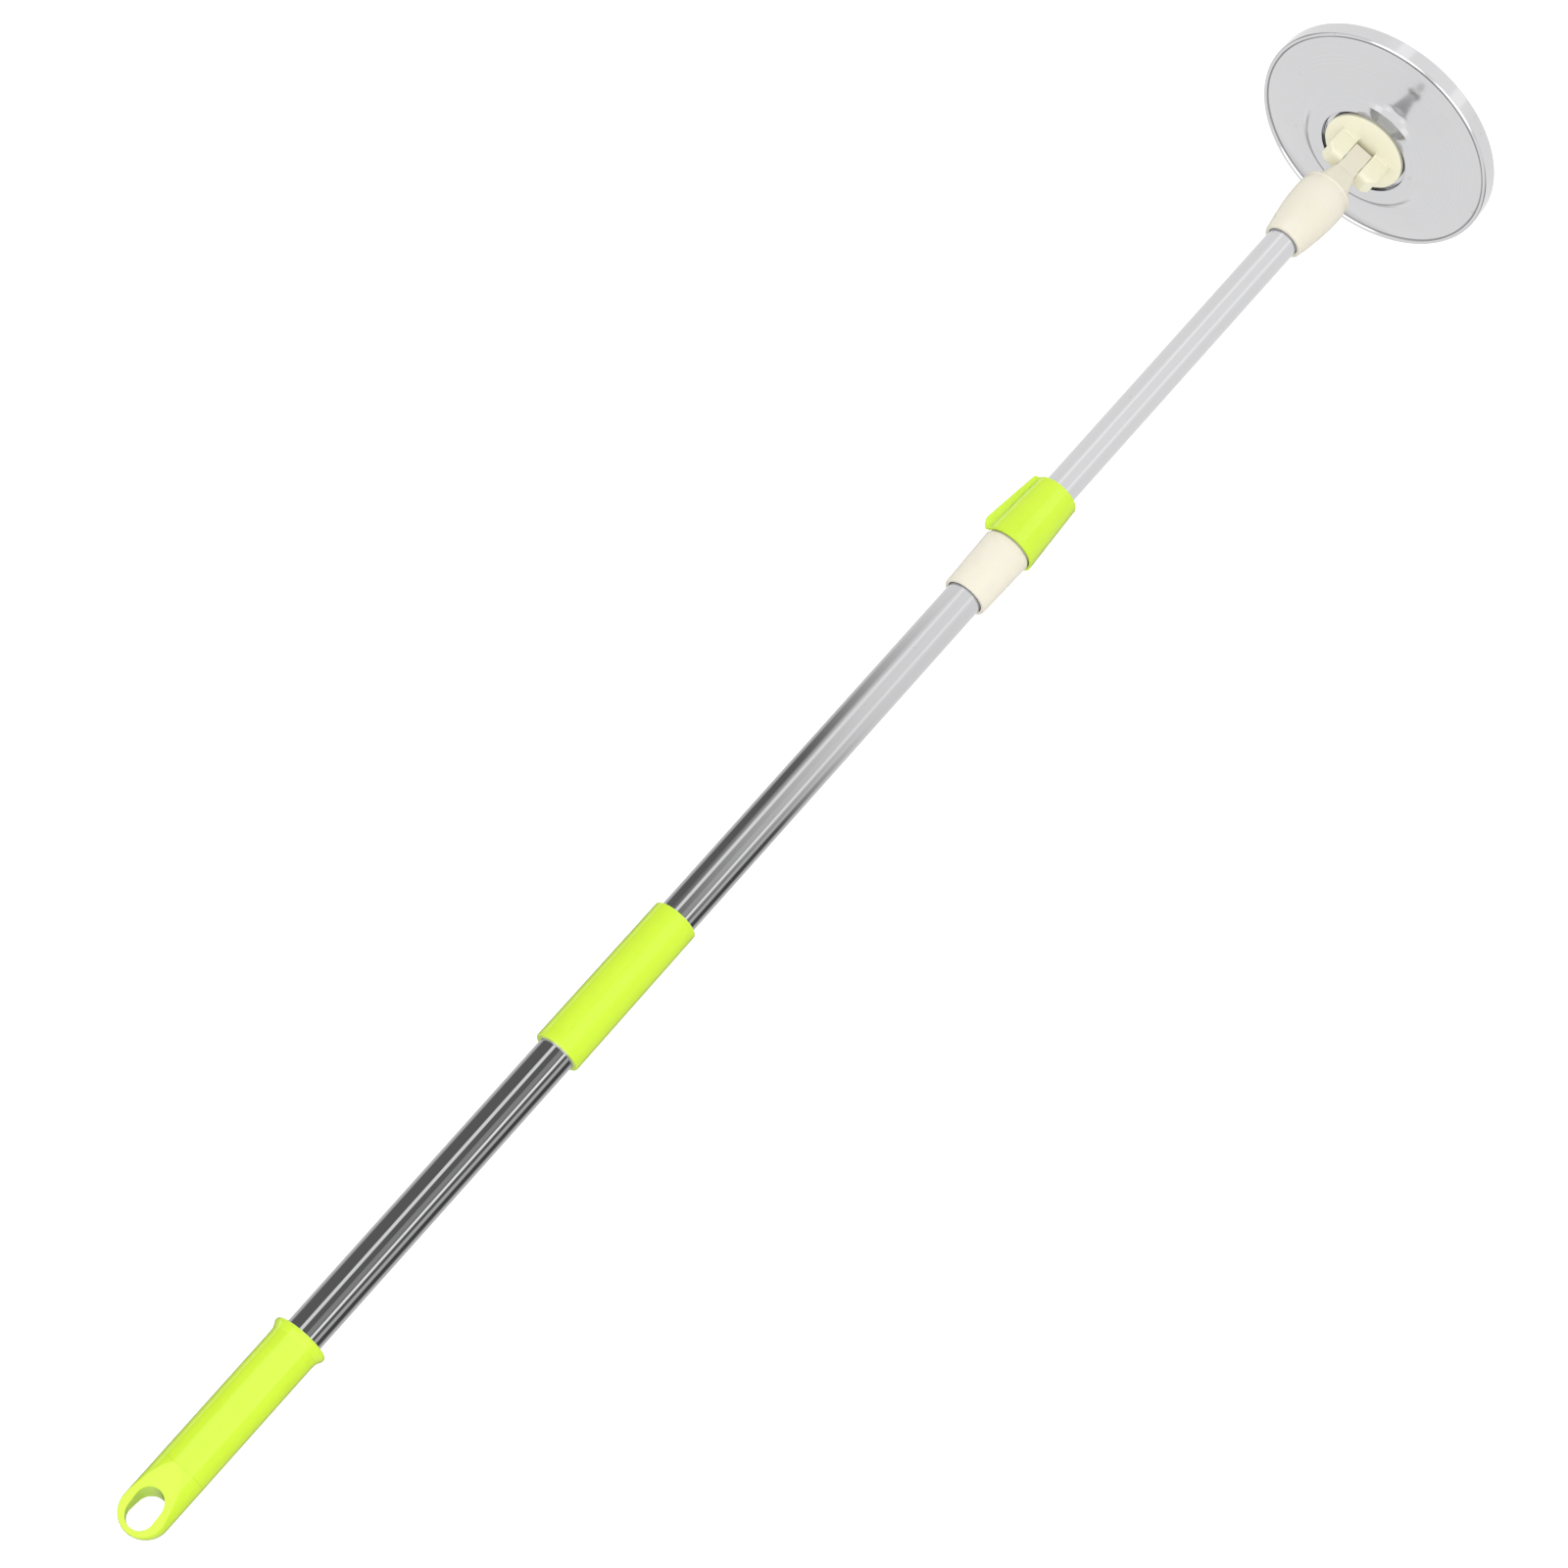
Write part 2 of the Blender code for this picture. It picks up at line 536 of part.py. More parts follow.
def make_inner(axis):
    tube = ring("inner_tube", INNER_BORE, INNER_RADIUS, Z_INNER_TOP, Z_INNER_END, "tube_steel")
    keep_place(tube, axis)
    head, spigot = TUBE_BORE - GAP, INNER_BORE - GAP
    top = Z_INNER_TOP + GUIDE_HEAD
    end = Z_INNER_TOP - GUIDE_LENGTH
    plug = [(0.0, top), (head - SOFT_EDGE, top), (head, top - SOFT_EDGE), (head, Z_INNER_TOP + GAP)]
    plug += [(spigot, Z_INNER_TOP + GAP), (spigot, end + LEAD_IN), (spigot - LEAD_IN, end), (0.0, end)]
    keep_place(lathe("guide_plug", plug, "grey_plastic", ROUND_SMALL), axis)

    bore = INNER_RADIUS + GAP
    mouth, belly = bore + NECK_MOUTH_WALL, bore + NECK_BELLY_WALL
    ridge = belly - NECK_SHOULDER_DROP
    floor = Z_INNER_END - SEAT
    side = [(mouth - SOFT_EDGE, Z_NECK_MOUTH), (mouth, Z_NECK_MOUTH - SOFT_EDGE)]
    for step in range(1, BELLY_STEPS + 1):
        share = step / BELLY_STEPS
        radius = mouth + (belly - mouth) * math.sin(share * math.pi / 2)
        side.append((radius, Z_NECK_MOUTH - NECK_BELLY * share))
    rounding = NECK_SHOULDER - NECK_BELLY
    side += [(belly - 0.25, side[-1][1] - 0.45 * rounding), (ridge, side[-1][1] - rounding + SOFT_EDGE)]
    side += [(ridge - RIDGE_ROUND, Z_NECK_MOUTH - NECK_SHOULDER), (CONE_RADIUS, Z_PIVOT + CONE_STOP)]
    profile = side + [(0.0, Z_PIVOT + CONE_STOP), (0.0, floor), (bore, floor), (bore, Z_NECK_MOUTH)]
    neck = lathe("neck_socket", profile, "cream_plastic")
    half = TONGUE_WIDTH / 2
    corner = math.degrees(math.acos(half / TONGUE_REACH))
    tongue = arc((0.0, Z_PIVOT), TONGUE_REACH, 180 + corner, 360 - corner, 10)
    root = Z_PIVOT + CONE_STOP + CONE_BITE
    tongue += [(half, root), (-half, root)]
    thick = TONGUE_THICKNESS / 2
    join(neck, prism("neck_tongue", tongue, -thick, thick, "cream_plastic", ALONG_Y))
    hole = circle(PIVOT_RADIUS + GAP, 24, (0.0, Z_PIVOT))
    cut(neck, prism("cut_tongue_hole", hole, -thick - CUT_PAST, thick + CUT_PAST, "cream_plastic", ALONG_Y))
    keep_place(neck, axis)


def make_hub(head):
    flange = [(0.0, HUB_FACE), (HUB_RADIUS - SOFT_EDGE, HUB_FACE), (HUB_RADIUS, HUB_FACE - SOFT_EDGE)]
    flange += [(HUB_RADIUS, HUB_BACK), (SHAFT_RADIUS, HUB_BACK), (SHAFT_RADIUS, SHAFT_END), (0.0, SHAFT_END)]
    hub = lathe("hub", flange, "cream_plastic", ROUND, head)
    w, t = EAR_HALF_WIDTH, EAR_TOP
    corner = EAR_ROUNDING * (1 - math.sqrt(0.5))
    ear = [(-w, HUB_FACE - 1.0), (w, HUB_FACE - 1.0), (w, t - EAR_ROUNDING), (w - corner, t - corner)]
    ear += [(w - EAR_ROUNDING, t), (EAR_ROUNDING - w, t), (corner - w, t - corner), (-w, t - EAR_ROUNDING)]
    for name, side in (("ear_right", 1), ("ear_left", -1)):
        near, far = side * EAR_INNER, side * EAR_OUTER
        piece = prism(name, ear, min(near, far), max(near, far), "cream_plastic", ALONG_Y, head)
        past, above = far + side * CUT_PAST, t + CUT_PAST
        slant = [(past, t - EAR_CHAMFER - CUT_PAST), (past, above), (far - side * (EAR_CHAMFER + CUT_PAST), above)]
        across = Matrix.Rotation(math.pi / 2, 4, "Z") @ Matrix.Rotation(math.pi / 2, 4, "X")
        flipped = [(-y, z) for y, z in slant]
        cut(piece, prism(f"cut_{name}", flipped, -2 * w, 2 * w, "cream_plastic", across, head))
        join(hub, piece)
    hole = circle(PIVOT_RADIUS + GAP, 24)
    cut(hub, prism("cut_pivot", hole, -EAR_OUTER - CUT_PAST, EAR_OUTER + CUT_PAST, "cream_plastic", ALONG_Y, head))
    thread = circle(SCREW_RADIUS + GAP, 16)
    depth = SHAFT_END + SCREW_LENGTH - SCREW_HEAD + SCREW_POINT
    cut(hub, prism("cut_screw", thread, SHAFT_END - CUT_PAST, depth, "cream_plastic", home=head))
    pin = circle(PIVOT_RADIUS, 24)
    prism("pivot_pin", pin, -EAR_OUTER + GAP, EAR_OUTER - GAP, "pin_steel", ALONG_Y, head)
    ring("hub_washer", SCREW_RADIUS + GAP, WASHER_RADIUS, WASHER_TOP, WASHER_END, "pin_steel", 32, head)
    seat = WASHER_END - GAP
    screw = [(0.0, seat + SCREW_LENGTH), (SCREW_RADIUS - SCREW_POINT_INSET, seat + SCREW_LENGTH)]
    screw += [(SCREW_RADIUS, seat + SCREW_LENGTH - SCREW_POINT), (SCREW_RADIUS, seat), (SCREW_HEAD_RADIUS, seat)]
    screw += [(SCREW_HEAD_RADIUS, seat - 1.6), (SCREW_HEAD_RADIUS - 1.0, seat - SCREW_HEAD)]
    screw += [(0.0, seat - SCREW_HEAD)]
    lathe("hub_screw", screw, "pin_steel", 24, head)


def cover_outside():
    """The outer face of the steel cover, from its hole out to the foot of its skirt."""
    points = [(HOLE_RADIUS, HUB_FACE), (PLATEAU_RADIUS - 0.8, HUB_FACE), (PLATEAU_RADIUS + 0.4, HUB_FACE - 0.5)]
    points += [(PLATEAU_RADIUS + 0.55 * PLATEAU_RUN, HUB_FACE - 0.78 * PLATEAU_STEP)]
    steps = 4
    for step in range(steps + 1):
        share = step / steps
        bow = 4 * DOME_BOW * share * (1 - share)
        radius = DOME_TOP_RADIUS + (DOME_RADIUS - DOME_TOP_RADIUS) * share
        points.append((radius, DOME_TOP - DOME_DROP * share + bow))
    crown = DOME_RADIUS + 0.55 * BEAD_WIDTH
    points += [(DOME_RADIUS + 0.2 * BEAD_WIDTH, DOME_FOOT + 0.5 * BEAD_HEIGHT), (crown, DOME_FOOT + BEAD_HEIGHT)]
    points += [(DISC_RADIUS - 0.4, DOME_FOOT + 0.4 * BEAD_HEIGHT), (DISC_RADIUS, DOME_FOOT - 0.5)]
    points += [(DISC_RADIUS, SKIRT_END + SKIRT_EDGE), (DISC_RADIUS - SKIRT_EDGE, SKIRT_END)]
    return points


def make_disc(spin):
    outside = cover_outside()
    inside = [(radius, height - SHEET) for radius, height in outside[:-4]]
    inside[0] = (HOLE_RADIUS, HUB_FACE - SHEET)
    wall = DISC_RADIUS - SHEET
    inside += [(wall, DOME_FOOT - 0.9), (wall, SKIRT_END + SHEET)]
    turned_in = DISC_RADIUS - LIP_TURN_IN
    foot = [(turned_in, SKIRT_END), (turned_in, SKIRT_END + SHEET)]
    cover = outside + foot + inside[::-1]
    lathe("disc_cover", shifted(cover), "disc_steel", ROUND_DISC, spin)

    rim = wall - GAP
    low, high = SKIRT_END + SHEET + GAP, SKIRT_END + SHEET + GAP + PLATE_THICKNESS
    face = DISC_RADIUS - PLATE_FACE
    seat = BUSH_RADIUS + GAP
    recess = WASHER_RADIUS + RECESS_GAP
    step = WASHER_TOP + GAP
    boss = seat + BOSS_WALL
    plate = [(seat, HUB_BACK - SEAT), (boss, HUB_BACK - SEAT), (boss, high), (rim, high), (rim, low)]
    plate += [(face, low), (face - PLATE_EDGE, SKIRT_END), (recess, SKIRT_END), (recess, step), (seat, step)]
    lathe("disc_plate", shifted(plate), "white_plastic", ROUND_DISC, spin)

    bush_top, bush_end = HUB_BACK - GAP, WASHER_TOP + GAP
    bush = [(BUSH_BORE, bush_end), (BUSH_RADIUS, bush_end), (BUSH_RADIUS, bush_top), (BUSH_BORE, bush_top)]
    lathe("bearing_bush", shifted(bush), "grey_plastic", ROUND, spin)


def shifted(profile):
    """Head-frame heights, measured from the spin axis's empty on the hub's face."""
    return [(radius, height - HUB_FACE) for radius, height in profile]


def main():
    clear_scene()
    telescope = axis_empty("axis_telescope", (0.0, 0.0, Z_COLLAR_END))
    turn = math.radians(LEVER_HINGE_TURN)
    pin_x, pin_y = HINGE_RADIUS * math.cos(turn), HINGE_RADIUS * math.sin(turn)
    lever_axis = axis_empty("axis_lever", (pin_x, pin_y, Z_SHOE))
    shoe_axis = axis_empty("axis_shoe", (0.0, 0.0, Z_SHOE))
    head = axis_empty("axis_head_tilt", (0.0, 0.0, Z_PIVOT), HEAD_TILT)
    spin = axis_empty("axis_disc_spin", (0.0, 0.0, HUB_FACE), 0.0, head)
    hinge = at_hinge(HINGE_RADIUS, LEVER_HINGE_TURN)

    make_hang_cap()
    make_grips()
    make_outer_tubes()
    make_collar(hinge)
    make_lever(hinge, lever_axis)
    make_shoe(shoe_axis)
    make_inner(telescope)
    make_hub(head)
    make_disc(spin)


main()
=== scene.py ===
# %% [markdown]
# # A telescopic mop pole with a lever lock and a round steel head
# The solid model of this pole is loaded first and stays fixed. It says where every piece sits and how it
# moves. This lesson builds the fine surfaces round it: softly rounded mouldings, polished tubes and a
# pressed steel head. The pole hangs by the slot in its end cap, so +Z runs up the pole.

# %% Load the frame
import json
import math

import bmesh
import bpy
from mathutils import Matrix, Vector


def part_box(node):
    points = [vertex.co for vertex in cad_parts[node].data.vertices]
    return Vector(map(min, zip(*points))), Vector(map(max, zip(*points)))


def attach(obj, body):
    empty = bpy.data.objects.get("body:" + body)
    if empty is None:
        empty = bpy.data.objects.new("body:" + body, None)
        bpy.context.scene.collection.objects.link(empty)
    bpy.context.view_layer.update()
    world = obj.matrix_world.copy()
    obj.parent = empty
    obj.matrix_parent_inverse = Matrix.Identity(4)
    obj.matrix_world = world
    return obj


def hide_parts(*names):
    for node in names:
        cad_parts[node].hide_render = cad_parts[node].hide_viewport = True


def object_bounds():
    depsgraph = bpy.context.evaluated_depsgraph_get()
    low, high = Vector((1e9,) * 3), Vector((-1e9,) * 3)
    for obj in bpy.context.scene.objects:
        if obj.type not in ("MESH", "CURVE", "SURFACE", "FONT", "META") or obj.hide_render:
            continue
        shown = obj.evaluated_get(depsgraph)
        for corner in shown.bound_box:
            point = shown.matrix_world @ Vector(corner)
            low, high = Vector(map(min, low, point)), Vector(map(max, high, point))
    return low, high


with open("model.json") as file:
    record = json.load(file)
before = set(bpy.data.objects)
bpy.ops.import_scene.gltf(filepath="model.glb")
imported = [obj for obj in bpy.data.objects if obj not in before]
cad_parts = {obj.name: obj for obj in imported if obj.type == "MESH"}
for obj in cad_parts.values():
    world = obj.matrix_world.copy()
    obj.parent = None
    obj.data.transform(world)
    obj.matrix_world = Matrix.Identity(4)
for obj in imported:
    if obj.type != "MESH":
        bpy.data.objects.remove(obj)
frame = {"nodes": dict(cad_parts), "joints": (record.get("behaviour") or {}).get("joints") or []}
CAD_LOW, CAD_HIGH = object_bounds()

MM = 0.001
JOINTS = {joint["name"]: joint for joint in frame["joints"]}

# %% [markdown]
# ## Where things are
# Every place comes from the solid model, so nothing here has to be fitted by eye. A helper turns that
# into the three numbers a round piece needs.

# %% Read the heights and radii
def span(node):
    """(lowest height, highest height, radius) of a round piece on the pole, in millimetres."""
    low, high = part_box(node)
    return low.z / MM, high.z / MM, (high.x - low.x) / 2 / MM


GRIP_LOW, GRIP_TOP, FLANGE_R = span("end_grip")
SLEEVE_LOW, SLEEVE_TOP, SLEEVE_R = span("mid_sleeve")
TUBE_R = span("tube_upper")[2]
LOWER_LOW = span("tube_lower")[0]
INNER_R = span("inner_tube")[2]
_, NECK_TOP, NECK_R = span("neck_socket")
COLLAR_LOW, COLLAR_TOP, _ = span("lock_collar")
CAP_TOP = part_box("hang_cap")[1].z / MM
LEVER_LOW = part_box("lock_lever")[0].z / MM
PIVOT_Z = JOINTS["head_tilt"]["pos_m"][2] / MM
HINGE_AT = Vector(JOINTS["lock_lever_hinge"]["pos_m"][:2]) / MM
HINGE_R = HINGE_AT.length
HINGE_TURN = math.degrees(math.atan2(HINGE_AT.y, HINGE_AT.x))
SPIN = Vector(JOINTS["disc_spin"]["axis"])
HEAD_TILT = math.degrees(math.atan2(SPIN.x, SPIN.z))
GAP = 0.3  # play between two pieces that don't hold each other
HEAD = Matrix.Translation((0, 0, PIVOT_Z)) @ Matrix.Rotation(math.radians(HEAD_TILT), 4, "Y")
print("pivot at", round(PIVOT_Z, 1), "mm")
print("hinge at turn", round(HINGE_TURN), "degrees, head tilted", round(HEAD_TILT, 1), "degrees")

# %% [markdown]
# ## The camera
# It stands to the side of the pole and a little above its middle, and it is rolled so that the grip lies
# low on the left. The camera comes first, because everything after it is judged through it.

# %% Place the camera
CAMERA_REACH = 2480  # from the middle of the pole
CAMERA_RISE = 20.5  # degrees above the middle of the pole
CAMERA_ROLL = 138.13
CAMERA_AIM = Vector((0, 5.53, -548.8))
CAMERA_LENS = 101.25


def make_camera():
    data = bpy.data.cameras.new("camera")
    data.lens, data.sensor_width = CAMERA_LENS, 36
    camera = bpy.data.objects.new("camera", data)
    rise = math.radians(CAMERA_RISE)
    back = Vector((math.cos(rise), 0, math.sin(rise)))
    camera.location = (CAMERA_AIM + back * CAMERA_REACH) * MM
    upright = back.to_track_quat("Z", "Y").to_matrix()
    camera.rotation_euler = (upright @ Matrix.Rotation(math.radians(-CAMERA_ROLL), 3, "Z")).to_euler()
    bpy.context.scene.collection.objects.link(camera)
    bpy.context.scene.camera = camera
    return camera


camera = make_camera()
print("camera at", [round(value, 3) for value in camera.location])

# %% [markdown]
# ## Small helpers for meshes
# A round piece is drawn as half of its outline and turned on a lathe. The outline has only its real
# corners, each with the radius of the rounding that a mould or a press gives it. `rounded` turns those
# corners into arcs.

# %% Round the corners of an outline
ARC_STEPS = 6


def rounded(corners, closed=True):
    """Points of an outline whose corners are (x, y) or (x, y, rounding)."""
    points = []
    count = len(corners)
    for i, corner in enumerate(corners):
        here = Vector(corner[:2])
        radius = corner[2] if len(corner) > 2 else 0
        if radius == 0 or (not closed and i in (0, count - 1)):
            points.append(here)
            continue
        before, after = Vector(corners[i - 1][:2]) - here, Vector(corners[(i + 1) % count][:2]) - here
        half = before.angle(after) / 2
        reach = min(radius / math.tan(half), 0.49 * before.length, 0.49 * after.length)
        start, end = here + before.normalized() * reach, here + after.normalized() * reach
        for step in range(ARC_STEPS + 1):
            share = step / ARC_STEPS
            points.append(start * (1 - share) ** 2 + here * 2 * share * (1 - share) + end * share**2)
    return points


HOLD = 0.25  # from a corner's rounding to the extra point that keeps a long run flat


def held(points):
    """Add a point near each end of a long run, so that its shading stays flat up to the rounding."""
    result = []
    for here, after in zip(points, points[1:] + points[:1]):
        result.append(here)
        length = (after - here).length
        if length > 8 * HOLD:
            result += [here.lerp(after, HOLD / length), here.lerp(after, 1 - HOLD / length)]
    return result


print("a 90 degree corner rounds into", len(rounded([(0, 0), (1, 0, 0.2), (1, 1)])) - 2, "points")

# %% [markdown]
# ## A lathe in Geometry Nodes
# Most of this pole is turned: grips, tubes, collar and head. One node tree does all of them. It lays a
# grid with a row for each point of the outline and a column for each side, then moves every grid point
# to its place on the round. Welding the seam closes the piece.

# %% Build the lathe
def feed(tree, socket, given):
    """Link a socket's input, or set it when it is a plain value."""
    if isinstance(given, bpy.types.NodeSocket):
        tree.links.new(given, socket)
    else:
        socket.default_value = given


def value_node(tree, operation, *inputs):
    """A math node with its inputs linked or set."""
    node = tree.nodes.new("ShaderNodeMath")
    node.operation = operation
    for socket, given in zip(node.inputs, inputs):
        feed(tree, socket, given)
    return node.outputs[0]


def finish_tree(tree, geometry, finish):
    """End a tree with real geometry in its finish, because instances aren't exported."""
    whole = tree.nodes.new("GeometryNodeRealizeInstances")
    tree.links.new(geometry, whole.inputs[0])
    painted = tree.nodes.new("GeometryNodeSetMaterial")
    tree.links.new(whole.outputs[0], painted.inputs["Geometry"])
    tree.links.new(finish, painted.inputs["Material"])
    tree.links.new(painted.outputs[0], tree.nodes.new("NodeGroupOutput").inputs[0])


WELD = 1e-6  # in metres, nearer than any two points that should stay apart


def lathe_tree():
    tree = bpy.data.node_groups.new("turn_on_a_lathe", "GeometryNodeTree")
    sockets = tree.interface
    sockets.new_socket("Outline", in_out="INPUT", socket_type="NodeSocketGeometry")
    sockets.new_socket("Sides", in_out="INPUT", socket_type="NodeSocketInt")
    sockets.new_socket("Finish", in_out="INPUT", socket_type="NodeSocketMaterial")
    sockets.new_socket("Piece", in_out="OUTPUT", socket_type="NodeSocketGeometry")
    link = tree.links.new
    given = tree.nodes.new("NodeGroupInput").outputs
    count = tree.nodes.new("GeometryNodeAttributeDomainSize").outputs["Point Count"]
    link(given["Outline"], count.node.inputs["Geometry"])
    grid = tree.nodes.new("GeometryNodeMeshGrid")
    link(value_node(tree, "ADD", given["Sides"], 1.0), grid.inputs["Vertices X"])
    link(count, grid.inputs["Vertices Y"])
    index = tree.nodes.new("GeometryNodeInputIndex").outputs[0]
    row = value_node(tree, "MODULO", index, count)
    column = value_node(tree, "FLOOR", value_node(tree, "DIVIDE", index, count))
    sample = tree.nodes.new("GeometryNodeSampleIndex")
    sample.data_type = "FLOAT_VECTOR"
    link(given["Outline"], sample.inputs["Geometry"])
    link(tree.nodes.new("GeometryNodeInputPosition").outputs[0], sample.inputs["Value"])
    link(row, sample.inputs["Index"])
    part = tree.nodes.new("ShaderNodeSeparateXYZ")
    link(sample.outputs[0], part.inputs[0])
    share = value_node(tree, "DIVIDE", column, given["Sides"])
    angle = value_node(tree, "MULTIPLY", share, 2 * math.pi)
    place = tree.nodes.new("ShaderNodeCombineXYZ")
    for socket, turn in (("X", "COSINE"), ("Y", "SINE")):
        swing = value_node(tree, turn, angle)
        link(value_node(tree, "MULTIPLY", part.outputs["X"], swing), place.inputs[socket])
    link(part.outputs["Z"], place.inputs["Z"])
    moved = tree.nodes.new("GeometryNodeSetPosition")
    link(grid.outputs["Mesh"], moved.inputs["Geometry"])
    link(place.outputs[0], moved.inputs["Position"])
    seam = tree.nodes.new("GeometryNodeMergeByDistance")
    seam.inputs["Distance"].default_value = WELD
    link(moved.outputs[0], seam.inputs["Geometry"])
    finish_tree(tree, seam.outputs[0], given["Finish"])
    return tree


LATHE = lathe_tree()
print("lathe tree:", len(LATHE.nodes), "nodes")

# %% [markdown]
# A tree does nothing until an object uses it. `turned` puts an outline on the lathe, keeps the plain mesh
# and drops the modifier. It then turns the faces outwards, because the lathe can't tell which way a wall
# faces, and marks sharp edges, so that flats stay flat and roundings look round.

# %% Turn an outline into a piece
def new_object(name, mesh):
    obj = bpy.data.objects.new(name, mesh)
    bpy.context.scene.collection.objects.link(obj)
    return obj


def set_input(modifier, name, value):
    for item in modifier.node_group.interface.items_tree:
        if item.name == name and item.in_out == "INPUT":
            modifier[item.identifier] = value


def frozen(obj):
    """The object's mesh with its modifiers applied and removed."""
    bpy.context.view_layer.update()
    evaluated = obj.evaluated_get(bpy.context.evaluated_depsgraph_get())
    mesh = bpy.data.meshes.new_from_object(evaluated)
    obj.modifiers.clear()
    obj.data = mesh
    return obj


def face_out(mesh):
    """Turn a closed mesh's faces outwards, without the loose edges that an outline leaves on its axis."""
    bm = bmesh.new()
    bm.from_mesh(mesh)
    bmesh.ops.remove_doubles(bm, verts=bm.verts, dist=WELD / 10)
    bmesh.ops.delete(bm, geom=[edge for edge in bm.edges if not edge.link_faces], context="EDGES")
    bmesh.ops.delete(bm, geom=[point for point in bm.verts if not point.link_faces], context="VERTS")
    bmesh.ops.recalc_face_normals(bm, faces=bm.faces)
    if bm.calc_volume(signed=True) < 0:
        bmesh.ops.reverse_faces(bm, faces=bm.faces)
    bm.to_mesh(mesh)
    bm.free()


SHARP = 35  # degrees past which two faces meet in an edge
CUT_SHARP, CARVED_SHARP = 30, 50  # the same for plain blocks and for softened mouldings that were cut


def shade(obj, angle=SHARP):
    obj.data.shade_smooth()
    obj.data.set_sharp_from_angle(angle=math.radians(angle))
    return obj


def scaled(place):
    """The same placing with its millimetres made metres."""
    result = place.copy()
    result.translation = place.translation * MM
    return result


def turned(name, corners, finish, sides=128, place=Matrix.Identity(4)):
    """A closed piece turned about Z from (radius, height, rounding) corners in millimetres."""
    points = held(rounded(corners))
    points.append(points[0])
    mesh = bpy.data.meshes.new(name)
    edges = [(i, i + 1) for i in range(len(points) - 1)]
    mesh.from_pydata([(x * MM, 0, z * MM) for x, z in points], edges, [])
    obj = new_object(name, mesh)
    modifier = obj.modifiers.new("lathe", "NODES")
    modifier.node_group = LATHE
    set_input(modifier, "Sides", sides)
    set_input(modifier, "Finish", finish)
    frozen(obj)
    face_out(obj.data)
    obj.data.transform(scaled(place))
    return shade(obj)


print("faces meet in an edge past", SHARP, "degrees")

# %% [markdown]
# ## Mouldings that aren't round
# The cap, lever, neck and hub have flats, lips and ears. Each is put together from plain closed blocks,
# cut where the real one is cut, and then remeshed and smoothed. That melts the blocks into one skin and
# gives every edge the soft rounding of a moulded part, which booleans alone leave knife-sharp.

# %% Blocks, cuts and softening
def solid(name, outline, low, high, place=Matrix.Identity(4)):
    """A block with this (x, y) outline from z = low to z = high, in millimetres, then placed."""
    bm = bmesh.new()
    rings = [[bm.verts.new((x * MM, y * MM, z * MM)) for x, y in outline] for z in (low, high)]
    bm.faces.new(rings[0])
    bm.faces.new(rings[1])
    for i in range(len(outline)):
        j = (i + 1) % len(outline)
        bm.faces.new([rings[0][i], rings[0][j], rings[1][j], rings[1][i]])
    return closed_mesh(name, bm, place)


def loft(name, rings, place=Matrix.Identity(4)):
    """A closed skin through rings of (x, y, z) points, all of the same length, in millimetres."""
    bm = bmesh.new()
    rows = [[bm.verts.new(Vector(point) * MM) for point in ring] for ring in rings]
    for near, far in zip(rows, rows[1:]):
        for i in range(len(near)):
            j = (i + 1) % len(near)
            bm.faces.new([near[i], near[j], far[j], far[i]])
    bm.faces.new(rows[0])
    bm.faces.new(rows[-1])
    return closed_mesh(name, bm, place)


def closed_mesh(name, bm, place):
    bmesh.ops.triangulate(bm, faces=[face for face in bm.faces if len(face.verts) > 4])
    bmesh.ops.recalc_face_normals(bm, faces=bm.faces)
    mesh = bpy.data.meshes.new(name)
    bm.to_mesh(mesh)
    bm.free()
    mesh.transform(scaled(place))
    face_out(mesh)
    return new_object(name, mesh)


def carve(obj, tool, operation="DIFFERENCE", crossing=False):
    """Cut, or with UNION weld, a tool block, which is used up. A tool whose own parts cross says so."""
    modifier = obj.modifiers.new("carve", "BOOLEAN")
    modifier.operation, modifier.solver, modifier.object = operation, "EXACT", tool
    modifier.use_self = crossing
    frozen(obj)
    bpy.data.objects.remove(tool)
    return obj


def weld(obj, *blocks):
    """Put more closed blocks into one mesh; softening melts them together."""
    bm = bmesh.new()
    for piece in (obj, *blocks):
        bm.from_mesh(piece.data)
    bm.to_mesh(obj.data)
    bm.free()
    for block in blocks:
        bpy.data.objects.remove(block)
    return obj


def paint(obj, finish):
    obj.data.materials.clear()
    obj.data.materials.append(finish)


def soften(obj, finish, voxel, passes):
    """Remesh the blocks into one skin and smooth its edges. More passes round them more."""
    melt = obj.modifiers.new("melt", "REMESH")
    melt.mode, melt.voxel_size, melt.use_smooth_shade = "VOXEL", voxel * MM, True
    ease = obj.modifiers.new("ease", "SMOOTH")
    ease.factor, ease.iterations = 0.5, passes
    frozen(obj)
    face_out(obj.data)
    paint(obj, finish)
    obj.data.shade_smooth()
    return obj


def facing(turn):
    """Outline x becomes radius and y becomes height, in the upright plane at this turn about Z."""
    return Matrix.Rotation(math.radians(turn), 4, "Z") @ Matrix.Rotation(math.pi / 2, 4, "X")


def circle(radius, count, centre=(0, 0)):
    turns = [2 * math.pi * step / count for step in range(count)]
    return [(centre[0] + radius * math.cos(a), centre[1] + radius * math.sin(a)) for a in turns]


ACROSS = Matrix.Rotation(math.pi / 2, 4, "X")  # outline (x, z), extruded along -Y
print("block helpers ready, a 48-sided cutter has", len(circle(1, 48)), "corners")

# %% [markdown]
# ## Finishes
# Moulded plastic isn't one flat colour. The pigment swirls a little, the skin has a faint orange peel,
# and handling leaves fine scuffs that break the gloss. One node group makes that skin, and the lime and
# the cream mouldings use it with their own values. Another makes the fine lines that drawing leaves
# along a tube, and a third the rings that spinning and polishing leave on the head.

